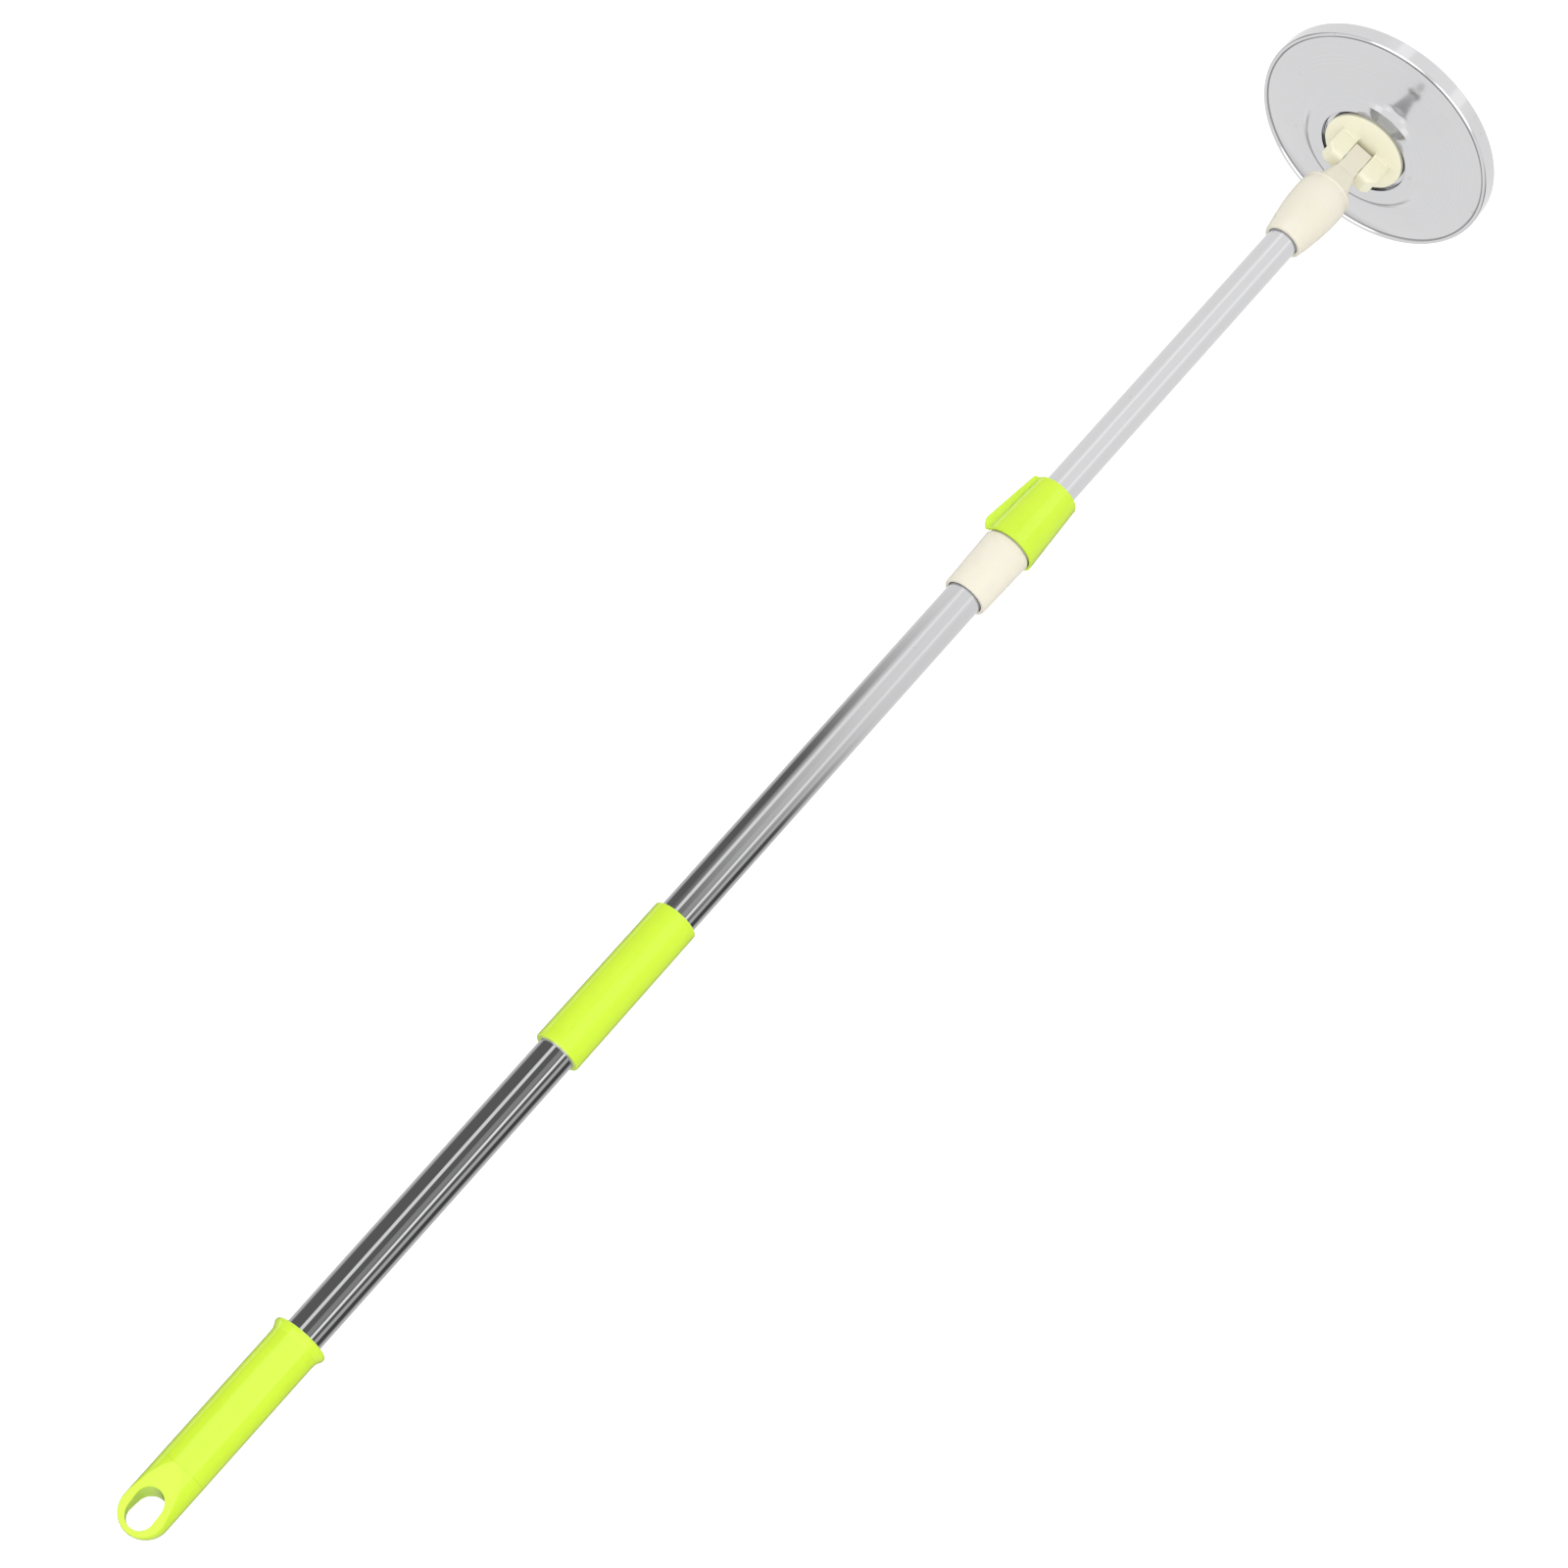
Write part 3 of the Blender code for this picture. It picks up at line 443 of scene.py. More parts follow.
# %% Helpers for shader nodes
def group(name, inputs, outputs):
    """An empty shader node group with float or colour sockets."""
    tree = bpy.data.node_groups.new(name, "ShaderNodeTree")
    for label, kind in inputs:
        tree.interface.new_socket(label, in_out="INPUT", socket_type=f"NodeSocket{kind}")
    for label, kind in outputs:
        tree.interface.new_socket(label, in_out="OUTPUT", socket_type=f"NodeSocket{kind}")
    return tree, tree.nodes.new("NodeGroupInput").outputs, tree.nodes.new("NodeGroupOutput").inputs


def calc(tree, operation, *inputs, clamp=False):
    socket = value_node(tree, operation, *inputs)
    socket.node.use_clamp = clamp
    return socket


def noise(tree, vector, scale, detail=3.0, roughness=0.55):
    node = tree.nodes.new("ShaderNodeTexNoise")
    for label, given in (("Vector", vector), ("Scale", scale), ("Detail", detail), ("Roughness", roughness)):
        feed(tree, node.inputs[label], given)
    return node.outputs["Fac"]


def between(tree, fac, low, high, to_low=0.0, to_high=1.0):
    """Stretch a value from low..high to to_low..to_high, held at the ends."""
    node = tree.nodes.new("ShaderNodeMapRange")
    labels = ("Value", "From Min", "From Max", "To Min", "To Max")
    for label, given in zip(labels, (fac, low, high, to_low, to_high)):
        feed(tree, node.inputs[label], given)
    return node.outputs["Result"]


def mixed(tree, fac, first, second):
    node = tree.nodes.new("ShaderNodeMix")
    node.data_type = "RGBA"
    for i, given in ((0, fac), (6, first), (7, second)):  # the colour sockets of a Mix node
        feed(tree, node.inputs[i], given)
    return node.outputs[2]


print("node helpers ready")

# %% [markdown]
# ### Moulded skin
# Three noises of different size make a moulding: slow swirls of pigment in its colour, stretched scuffs
# that show only in worn patches, and a very fine orange peel in its height. A picture of scuffs would
# show its seams, and noise has none.

# %% The skin of a moulding
def plastic_skin():
    tree, given, out = group(
        "moulded_skin",
        [("Colour", "Color"), ("Shade", "Color"), ("Gloss", "Float"), ("Scuffs", "Float")],
        [("Colour", "Color"), ("Roughness", "Float"), ("Height", "Float")],
    )
    place = tree.nodes.new("ShaderNodeTexCoord").outputs["Object"]
    swirl = between(tree, noise(tree, place, 28.0, 4.0, 0.6), 0.35, 0.7)
    tree.links.new(mixed(tree, swirl, given["Colour"], given["Shade"]), out["Colour"])
    streak = tree.nodes.new("ShaderNodeMapping")
    streak.inputs["Scale"].default_value = (1.0, 1.0, 0.12)
    tree.links.new(place, streak.inputs["Vector"])
    scratch = between(tree, noise(tree, streak.outputs[0], 900.0, 2.0, 0.7), 0.62, 0.75)
    patch = between(tree, noise(tree, place, 45.0, 2.0), 0.45, 0.65)
    scuff = calc(tree, "MULTIPLY", calc(tree, "MULTIPLY", scratch, patch), given["Scuffs"])
    cloudy = between(tree, noise(tree, place, 120.0, 3.0), 0.3, 0.7, -0.03, 0.03)
    rough = calc(tree, "ADD", calc(tree, "ADD", given["Gloss"], cloudy), calc(tree, "MULTIPLY", scuff, 0.25))
    tree.links.new(rough, out["Roughness"])
    peel = noise(tree, place, 700.0, 2.0, 0.5)
    height = calc(tree, "SUBTRACT", calc(tree, "MULTIPLY", peel, 0.5), calc(tree, "MULTIPLY", scuff, 0.4))
    tree.links.new(height, out["Height"])
    return tree


SKIN = plastic_skin()
print("moulded skin:", len(SKIN.nodes), "nodes")

# %% [markdown]
# ### Drawn steel
# A die leaves fine lines all along a tube. Noise that is stretched a hundredfold along Z makes them. A few
# round specks break them up, or the tube looks brushed.

# %% The lines along a drawn tube
def drawn_lines():
    tree, given, out = group(
        "drawn_lines",
        [("Colour", "Color"), ("Line Colour", "Color"), ("Gloss", "Float")],
        [("Colour", "Color"), ("Roughness", "Float"), ("Height", "Float")],
    )
    place = tree.nodes.new("ShaderNodeTexCoord").outputs["Object"]
    along = tree.nodes.new("ShaderNodeMapping")
    along.inputs["Scale"].default_value = (1.0, 1.0, 0.008)
    tree.links.new(place, along.inputs["Vector"])
    fine = noise(tree, along.outputs[0], 2600.0, 3.0, 0.6)
    broad = noise(tree, along.outputs[0], 420.0, 2.0, 0.5)
    line = between(tree, fine, 0.58, 0.72)
    speck = between(tree, noise(tree, place, 260.0, 1.0), 0.74, 0.8)
    dull = calc(tree, "MAXIMUM", calc(tree, "MULTIPLY", line, 0.5), speck)
    tree.links.new(mixed(tree, dull, given["Colour"], given["Line Colour"]), out["Colour"])
    rough = calc(tree, "ADD", given["Gloss"], calc(tree, "MULTIPLY", dull, 0.08))
    tree.links.new(calc(tree, "ADD", rough, between(tree, broad, 0.3, 0.7, -0.01, 0.02)), out["Roughness"])
    height = calc(tree, "ADD", calc(tree, "MULTIPLY", fine, 0.3), calc(tree, "MULTIPLY", broad, 0.7))
    tree.links.new(height, out["Height"])
    return tree


LINES = drawn_lines()
print("drawn lines:", len(LINES.nodes), "nodes")

# %% [markdown]
# ### Spun and polished steel
# Polishing a turning head leaves rings round its axis. The distance from the axis alone drives the noise,
# so each ring closes on itself. The head is tilted, so the material turns the coordinates first.

# %% The rings on a spun and polished head
def spun_rings():
    tree, given, out = group(
        "spun_rings",
        [("Colour", "Color"), ("Ring Colour", "Color"), ("Gloss", "Float"), ("Place", "Vector")],
        [("Colour", "Color"), ("Roughness", "Float"), ("Height", "Float")],
    )
    flat = tree.nodes.new("ShaderNodeVectorMath")
    flat.operation = "MULTIPLY"
    flat.inputs[1].default_value = (1.0, 1.0, 0.0)
    tree.links.new(given["Place"], flat.inputs[0])
    length = tree.nodes.new("ShaderNodeVectorMath")
    length.operation = "LENGTH"
    tree.links.new(flat.outputs[0], length.inputs[0])
    radius = tree.nodes.new("ShaderNodeCombineXYZ")
    tree.links.new(length.outputs["Value"], radius.inputs["X"])
    ring = noise(tree, radius.outputs[0], 900.0, 3.0, 0.6)
    smear = noise(tree, given["Place"], 22.0, 3.0, 0.55)
    pit = between(tree, noise(tree, given["Place"], 210.0, 0.0), 0.80, 0.86)
    tone = calc(tree, "MULTIPLY", between(tree, ring, 0.4, 0.7), 0.5)
    tone = calc(tree, "MAXIMUM", calc(tree, "ADD", tone, between(tree, smear, 0.45, 0.75, 0.0, 0.35)), pit)
    tree.links.new(mixed(tree, tone, given["Colour"], given["Ring Colour"]), out["Colour"])
    rough = calc(tree, "ADD", given["Gloss"], between(tree, smear, 0.35, 0.75, 0.0, 0.05))
    tree.links.new(calc(tree, "ADD", rough, calc(tree, "MULTIPLY", pit, 0.1)), out["Roughness"])
    height = calc(tree, "SUBTRACT", calc(tree, "MULTIPLY", ring, 0.4), calc(tree, "MULTIPLY", pit, 0.8))
    tree.links.new(height, out["Height"])
    return tree


RINGS = spun_rings()
print("spun rings:", len(RINGS.nodes), "nodes")

# %% [markdown]
# ### Materials
# Each finish is a Principled shader fed by one of the three groups. The mouldings get a clear coat for
# their crisp gleam, and a little light scatters inside them. The head mirrors the pole that stands on it,
# but only as a dull grey shape, so each material paints a grey of its own for a mirrored ray, darker
# towards the edges: a painted reflection, with painted shade at its edges.

# %% Materials
# Painted reflection: the greys that a mirrored ray gets instead of the colour, facing and at the edge; the darker
# edge grey is painted shade.
PAINTED_REFLECTION = (
    ((0.58, 0.58, 0.59, 1), (0.16, 0.16, 0.165, 1)),  # steel: middle, edge
    ((0.56, 0.56, 0.55, 1), (0.40, 0.40, 0.39, 1)),  # plastic
)


def material(name, skin, values, metallic, bump, depth, coat=0.0, sheer=0.0, place=None):
    """A Principled material whose colour, roughness and bump come from one of the groups."""
    made = bpy.data.materials.new(name)
    made.use_nodes = True
    tree = made.node_tree
    shader = tree.nodes["Principled BSDF"]
    effect = tree.nodes.new("ShaderNodeGroup")
    effect.node_tree = skin
    for label, given in values.items():
        effect.inputs[label].default_value = given
    if place is not None:
        turn = tree.nodes.new("ShaderNodeMapping")
        turn.vector_type = "TEXTURE"
        turn.inputs["Location"].default_value = place.translation
        turn.inputs["Rotation"].default_value = place.to_euler()
        tree.links.new(tree.nodes.new("ShaderNodeTexCoord").outputs["Object"], turn.inputs["Vector"])
        tree.links.new(turn.outputs[0], effect.inputs["Place"])
    path = tree.nodes.new("ShaderNodeLightPath").outputs
    edge = tree.nodes.new("ShaderNodeLayerWeight")
    edge.inputs["Blend"].default_value = 0.5
    # Painted reflection: a mirrored ray sees a painted grey, darker towards the edges, in place of the finish's
    # colour.
    painted_reflection_grey = mixed(tree, edge.outputs["Facing"], *PAINTED_REFLECTION[0 if metallic else 1])
    colour = mixed(tree, path["Is Glossy Ray"], effect.outputs["Colour"], painted_reflection_grey)
    tree.links.new(colour, shader.inputs["Base Color"])
    tree.links.new(effect.outputs["Roughness"], shader.inputs["Roughness"])
    relief = tree.nodes.new("ShaderNodeBump")
    relief.inputs["Strength"].default_value = bump
    relief.inputs["Distance"].default_value = depth * MM
    tree.links.new(effect.outputs["Height"], relief.inputs["Height"])
    tree.links.new(relief.outputs[0], shader.inputs["Normal"])
    shader.inputs["Metallic"].default_value = metallic
    shader.inputs["Coat Weight"].default_value = coat
    shader.inputs["Coat Roughness"].default_value = 0.0
    shader.inputs["Subsurface Weight"].default_value = sheer
    shader.inputs["Subsurface Radius"].default_value = (1.2 * MM, 1.0 * MM, 0.5 * MM)
    shader.inputs["Subsurface Scale"].default_value = 1.0
    return made


def plastic(name, colour, shade_colour, gloss, coat=0.0, sheer=0.0):
    values = {"Colour": (*colour, 1), "Shade": (*shade_colour, 1), "Gloss": gloss, "Scuffs": 1.0}
    return material(name, SKIN, values, 0.0, 0.15, 0.1, coat, sheer)


HEAD_PLACE = scaled(HEAD)
LIME = plastic("lime_plastic", (0.60, 0.84, 0.028), (0.575, 0.81, 0.022), 0.34, coat=1.0, sheer=0.1)
CREAM = plastic("cream_plastic", (0.795, 0.755, 0.635), (0.775, 0.73, 0.60), 0.36, coat=0.4, sheer=0.15)
# Painted light: the hub is the same cream plastic as the collar and neck, given a lighter copy of it.
LIT_CREAM = plastic("cream_plastic_lit", (0.90, 0.875, 0.69), (0.88, 0.85, 0.64), 0.36, coat=0.4, sheer=0.15)
GREY = plastic("grey_plastic", (0.10, 0.10, 0.105), (0.08, 0.08, 0.085), 0.45)
WHITE = plastic("white_plastic", (0.72, 0.72, 0.70), (0.68, 0.68, 0.655), 0.45)
TUBE = material(
    "tube_steel",
    LINES,
    {"Colour": (0.70, 0.70, 0.71, 1), "Line Colour": (0.62, 0.62, 0.63, 1), "Gloss": 0.055},
    1.0, 0.12, 0.02,
)
DISC = material(
    "disc_steel",
    RINGS,
    {"Colour": (0.72, 0.72, 0.73, 1), "Ring Colour": (0.66, 0.66, 0.67, 1), "Gloss": 0.06},
    1.0, 0.05, 0.01, place=HEAD_PLACE,
)
BRIGHT = material(
    "pin_steel",
    RINGS,
    {"Colour": (0.55, 0.55, 0.56, 1), "Ring Colour": (0.45, 0.45, 0.46, 1), "Gloss": 0.22},
    1.0, 0.1, 0.02, place=HEAD_PLACE,
)
print("finishes:", len([m for m in bpy.data.materials if m.use_nodes]))

# %% [markdown]
# ## Hang cap
# The end of the grip is a plug with two slanted flats that meet the round body in a long V. An oval slot
# goes through the flats. The block is turned, cut and softened, so the slot gets the rounded rim that a
# hook slides over.

# %% Make the hang cap
def settle(obj, body, slot_name, *nodes):
    """Put a finished piece on its body, in place of the plain solids."""
    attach(obj, body)
    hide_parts(*nodes)
    return obj


CAP_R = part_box("hang_cap")[1].x / MM
CAP_SEAM = GRIP_TOP + GAP
CAP_FLAT_TURN = 16  # degrees from +X
CAP_FLAT_HALF = 1.8  # half the cap's thickness at its tip
CAP_DOME = 14.5
CAP_PLUG_R, CAP_PLUG_DEPTH = 10, 6  # the spigot that sits in the grip
CAP_SPARE = 2  # the cap is softened this much too long and then cut flat at the seam
FLAT_RUN = 10  # how far the block that cuts a flat runs past the cap's ends
SLOT_WIDTH, SLOT_LENGTH = 17.0, 23.4
SEAM_EDGE = 0.1


def make_hang_cap():
    dome = CAP_TOP - CAP_DOME
    low = CAP_SEAM - GAP + 0.05
    corners = [(0, CAP_SEAM - CAP_PLUG_DEPTH), (CAP_PLUG_R, CAP_SEAM - CAP_PLUG_DEPTH), (CAP_PLUG_R, low - CAP_SPARE)]
    corners += [(CAP_R, low - CAP_SPARE), (CAP_R, dome)]
    for step in range(1, 18):
        turn = math.radians(5 * step)
        corners.append((CAP_R * math.cos(turn), dome + CAP_DOME * math.sin(turn)))
    corners.append((0, CAP_TOP))
    cap = turned("hang_cap_moulding", corners, LIME)
    slope = (CAP_R - CAP_FLAT_HALF) / (CAP_TOP - CAP_SEAM)
    low_end = (CAP_R + slope * (FLAT_RUN - 1.0), CAP_SEAM - FLAT_RUN + 1.0)
    wedge = [low_end, (CAP_FLAT_HALF - slope * FLAT_RUN, CAP_TOP + FLAT_RUN)]
    wedge += [(40, CAP_TOP + FLAT_RUN), (40, CAP_SEAM - FLAT_RUN)]
    for turn in (CAP_FLAT_TURN, CAP_FLAT_TURN + 180):
        carve(cap, solid("flat", wedge, -30, 30, facing(turn)))
    half = SLOT_WIDTH / 2
    slot = []
    for centre, first in (((0, -half), 0), ((0, half - SLOT_LENGTH), 180)):
        for step in range(25):
            turn = math.radians(first + 7.5 * step)
            slot.append((centre[0] + half * math.cos(turn), centre[1] + half * math.sin(turn)))
    carve(cap, solid("slot", slot, -40, 40, facing(CAP_FLAT_TURN + 90)))
    soften(cap, LIME, 0.35, 8)
    near, far, bottom = CAP_PLUG_R - 1, CAP_R + 5, low - 2 * CAP_SPARE
    spare = [(near, bottom), (far, bottom), (far, low), (near, low)]
    carve(cap, turned("seam", spare, LIME))
    return settle(shade(cap), "pole", "lime_plastic", "hang_cap")


cap = make_hang_cap()
print("hang cap:", len(cap.data.polygons), "faces")

# %% [markdown]
# ## Grips
# The end grip is a tube of lime plastic with a thin flared lip where it meets the steel. The middle grip
# is a plain sleeve, a shade slimmer at its low end, with bright rounded rims.

# %% Make the two grips
FLARE_LENGTH, FLARE_EASE = 6.0, 12.0
RIM = 0.9
GRIP_SIDES = 160
SLEEVE_TAPER = 0.4


def make_grips():
    bore = TUBE_R + 0.05
    low, top = GRIP_LOW, GRIP_TOP
    grip = [(bore, top), (CAP_R, top, SEAM_EDGE), (CAP_R, low + 9.0, FLARE_EASE)]
    grip += [(CAP_R + 0.25, low + FLARE_LENGTH, 2.0)]
    grip += [(FLANGE_R - 0.7, low + 3.6, 0.8), (FLANGE_R, low + 2.4, 0.9), (FLANGE_R - 0.1, low + 0.6, 0.8)]
    grip += [(FLANGE_R - 1.3, low, 0.7), (bore + 1.2, low + 0.6, 0.5), (bore, low + 1.2, 0.4)]
    settle(turned("end_grip_moulding", grip, LIME, GRIP_SIDES), "pole", "lime_plastic", "end_grip")
    low, top = SLEEVE_LOW, SLEEVE_TOP
    slim = SLEEVE_R - SLEEVE_TAPER
    sleeve = [(bore, top, 0.15), (SLEEVE_R, top, RIM), (slim, low, RIM), (bore, low, 0.15)]
    settle(turned("mid_sleeve_moulding", sleeve, LIME, GRIP_SIDES), "pole", "lime_plastic", "mid_sleeve")


make_grips()
print("grips made, flange", round(2 * FLANGE_R, 1), "mm across")

# %% [markdown]
# ## Steel tubes
# Three thin tubes. They are true circles with many sides, because a polished tube shows every facet in
# its reflections.

# %% Make the tubes
TUBE_WALL = 0.5
TUBE_SIDES = 192


def make_tube(name, node, body, radius):
    low, top, _ = span(node)
    wall = [(radius - TUBE_WALL, low), (radius, low, 0.15), (radius, top, 0.15), (radius - TUBE_WALL, top)]
    settle(turned(name, wall, TUBE, TUBE_SIDES), body, "tube_steel", node)


make_tube("upper_tube", "tube_upper", "pole", TUBE_R)
make_tube("lower_tube", "tube_lower", "pole", TUBE_R)
make_tube("sliding_tube", "inner_tube", "inner", INNER_R)
print("tubes made")

# %% [markdown]
# ## Lock collar
# The cream collar holds the outer tube, flares towards the lever and ends in a step. Below the step, under
# the lever, it is slimmer, with a pocket for the lever's boss, two lugs that hold the pin and a window for
# the brake shoe. These are seen when the lever stands open.

# %% Make the lock collar
LEVER_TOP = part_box("lock_lever")[1].z / MM - 1.0
STEP_Z = LEVER_TOP + 0.8
COLLAR_R = TUBE_R + 3.9
LEVER_BORE_LOW = INNER_R + 2.6
LEVER_BORE_TOP = LEVER_BORE_LOW + 2.7
LEVER_WALL = 1.9
LEVER_PLAY = 1.0  # between the lever and the slim part of the collar
LUG_R, LUG_LENGTH = 2.2, 5.2
SHOE_HALF = 4.0
PIN_R = 1.0
BOSS_R, CAM_LIFT = 2.4, 0.5
BOSS_TOP = STEP_Z - LUG_LENGTH
BOSS_LOW = COLLAR_LOW + LUG_LENGTH + 1.0
HINGE = Matrix.Rotation(math.radians(HINGE_TURN), 4, "Z") @ Matrix.Translation((HINGE_R, 0, 0))


def make_collar():
    tube, bore = TUBE_R + GAP, INNER_R + GAP
    shoulder = LOWER_LOW - GAP
    outline = [(tube, COLLAR_TOP - 1.2, 0.3), (tube + 0.2, COLLAR_TOP, 0.3), (tube + 2.2, COLLAR_TOP, 0.6)]
    outline += [(tube + 2.4, COLLAR_TOP - 1.0, 1.0), (COLLAR_R, STEP_Z, 0.6)]
    outline += [(LEVER_BORE_TOP - LEVER_PLAY, STEP_Z, 0.3), (LEVER_BORE_LOW - LEVER_PLAY, COLLAR_LOW, 0.3)]
    outline += [(bore, COLLAR_LOW, 0.3), (bore, shoulder), (tube, shoulder)]
    collar = turned("collar_moulding", outline, CREAM)
    for low, high in ((BOSS_TOP, BOSS_TOP + 8.0), (COLLAR_LOW, BOSS_LOW)):
        reach = HINGE_R - bore - 0.6
        web = [(-reach, -LUG_R), (0, -LUG_R), (0, LUG_R), (-reach, LUG_R)]
        for name, shape in (("lug", circle(LUG_R, 32)), ("web", web)):
            carve(collar, solid(name, shape, low, high, HINGE), "UNION")
    carve(collar, solid("pocket", circle(BOSS_R + CAM_LIFT + GAP, 48), BOSS_LOW, BOSS_TOP, HINGE))
    shoe_low, shoe_top, _ = span("brake_shoe")
    half = SHOE_HALF + GAP
    window = [(bore - HINGE_R - 2, -half), (1, -half), (1, half), (bore - HINGE_R - 2, half)]
    carve(collar, solid("window", window, shoe_low - GAP, shoe_top + GAP, HINGE))
    carve(collar, solid("pin_hole", circle(PIN_R + GAP, 32), COLLAR_LOW - 1, BOSS_TOP + 6, HINGE))
    paint(collar, CREAM)
    settle(shade(collar, CUT_SHARP), "pole", "cream_plastic", "lock_collar")


make_collar()
print("collar made, step at", round(STEP_Z, 1), "mm")

# %% [markdown]
# ## Lock lever
# The lime lever is a tapered shell wrapped round more than half of the collar. One edge carries the boss
# on the hinge pin, with the cam that presses the brake shoe. The other edge turns out into a finger lip
# behind a hollow groove. The shell is lofted from one section per step of height, so its taper, groove
# and lip are all one smooth skin.

# %% Make the lock lever
LIP_TURN = 82
LIP_WALL = 2.3
LIP_TIP = 1.0  # how far the lip runs past the shell
LIP_EDGE_LOW, LIP_EDGE_TOP = 4.3, 6.9  # how far the lip stands out past the shell's bore
GROOVE_DEPTH, GROOVE_WIDTH = 1.3, 1.2  # between the shell and the lip
DENT_DEPTH, DENT_SPREAD, DENT_TURN = 0.55, 4.5, LIP_TURN - 13  # the hollow in front of the lip
SHELL_STEPS, SHELL_FACETS = 50, 80


def ramp(share, low, high):
    return low + (high - low) * share


def lip_reach(height):
    """Radius of the lip's edge: it spreads towards the top and rounds in at its tip."""
    bottom, top = LEVER_LOW + 1.0, LEVER_TOP + LIP_TIP
    share = (height - bottom) / (top - bottom)
    flare = ramp(share, LEVER_BORE_LOW + LIP_EDGE_LOW, LEVER_BORE_TOP + LIP_EDGE_TOP)
    turn_in = max(0.0, 1 - (top - height) / 7.0)
    start = max(0.0, 1 - (height - bottom) / 1.5)
    return flare - 4.6 * turn_in**2 - 0.8 * start**2


def lever_shell():
    rings = []
    first = HINGE_TURN + 6
    for step in range(SHELL_STEPS + 1):
        share = step / SHELL_STEPS
        z = ramp(share, LEVER_LOW, LEVER_TOP)
        inner = ramp(share, LEVER_BORE_LOW, LEVER_BORE_TOP)
        outer = inner + LEVER_WALL
        ring = []
        for i in range(SHELL_FACETS + 1):
            turn = first + (LIP_TURN - 6.5 - first) * i / SHELL_FACETS
            dent = DENT_DEPTH * math.exp(-(((turn - DENT_TURN) / DENT_SPREAD) ** 2))
            ring.append((outer - dent, turn))
        ring.append((outer - 0.1, LIP_TURN))
        for i in range(SHELL_FACETS + 1):
            ring.append((inner, LIP_TURN + (first - LIP_TURN) * i / SHELL_FACETS))
        rings.append([(r * math.cos(math.radians(a)), r * math.sin(math.radians(a)), z) for r, a in ring])
    return loft("lever_shell", rings)


def lever_lip():
    rings = []
    low, high = LEVER_LOW + 1.0, LEVER_TOP + LIP_TIP
    place = Matrix.Rotation(math.radians(LIP_TURN), 4, "Z")
    for step in range(SHELL_STEPS + 1):
        z = low + (high - low) * step / SHELL_STEPS
        share = min(1.0, (z - LEVER_LOW) / (LEVER_TOP - LEVER_LOW))
        root = ramp(share, LEVER_BORE_LOW, LEVER_BORE_TOP) + 0.5
        root = root if z < LEVER_TOP - 0.6 else COLLAR_R + 1.3
        edge = lip_reach(z)
        ring = [(root, 0), (edge - 0.9, 0.15), (edge, -0.5), (edge, -LIP_WALL + 0.6), (edge - 0.6, -LIP_WALL)]
        ring += [(root + 2.6, -LIP_WALL + 0.3), (root + 1.2, -LIP_WALL - 0.9), (root, -LIP_WALL - 2.4)]
        rings.append([(x, y, z) for x, y in ring])
    return loft("lever_lip", rings, place)


def make_lever():
    lever = lever_shell()
    cam = []
    for step in range(72):
        turn = 5.0 * step
        reach = BOSS_R + CAM_LIFT * max(0.0, 1 - abs(turn - 180) / 100)
        cam.append((reach * math.cos(math.radians(turn)), reach * math.sin(math.radians(turn))))
    weld(lever, lever_lip(), solid("boss", cam, BOSS_LOW + GAP, BOSS_TOP - GAP, HINGE))
    soften(lever, LIME, 0.4, 5)
    low, top = (bore + LEVER_WALL - GROOVE_DEPTH for bore in (LEVER_BORE_LOW, LEVER_BORE_TOP))
    cut = [(low, LEVER_LOW - 1), (low + 3, LEVER_LOW - 1), (top + 3, LEVER_TOP + 2), (top, LEVER_TOP + 2)]
    carve(lever, solid("groove", cut, LIP_WALL + 0.1, LIP_WALL + 0.1 + GROOVE_WIDTH, facing(LIP_TURN)))
    notch = circle(LUG_R + 1.4, 48)
    bottom, top = LEVER_LOW - 5, LEVER_TOP + 5
    carve(lever, solid("notch", notch, BOSS_TOP - GAP, top, HINGE))
    carve(lever, solid("notch", notch, bottom, BOSS_LOW + GAP, HINGE))
    carve(lever, solid("bore", circle(PIN_R + GAP, 32), bottom, top, HINGE))
    lever.name = "lever_moulding"
    return settle(shade(lever, CARVED_SHARP), "lever", "lime_plastic", "lock_lever")


lever = make_lever()
print("lever:", len(lever.data.polygons), "faces")

# %% [markdown]
# ## Neck socket
# The cream socket swells from a thin mouth to a belly, drops over a soft shoulder and then narrows in a
# wedge to the flat tongue that the hub's ears hold.

# %% Make the neck socket
TONGUE_HALF, TONGUE_WIDE, TONGUE_REACH = 6.25, 6.5, 10.7
PIN_HOLE_R = 2.3
BELLY_Z, SHOULDER_Z = NECK_TOP - 36.5, NECK_TOP - 46.5
WEDGE_END = PIVOT_Z + 11.0


def squircle(half_x, half_y, power, z, count=96):
    """A ring between an ellipse, at power 2, and a rounded box, at higher powers."""
    ring = []
    for c, s in circle(1, count):
        x = half_x * math.copysign(abs(c) ** (2 / power), c)
        y = half_y * math.copysign(abs(s) ** (2 / power), s)
        ring.append((x, y, z))
    return ring


SHOULDER_DROP = 0.9
MOUTH_WALL, MOUTH_PLAY = 2.3, 0.12
SOCKET_DEPTH = 33.1


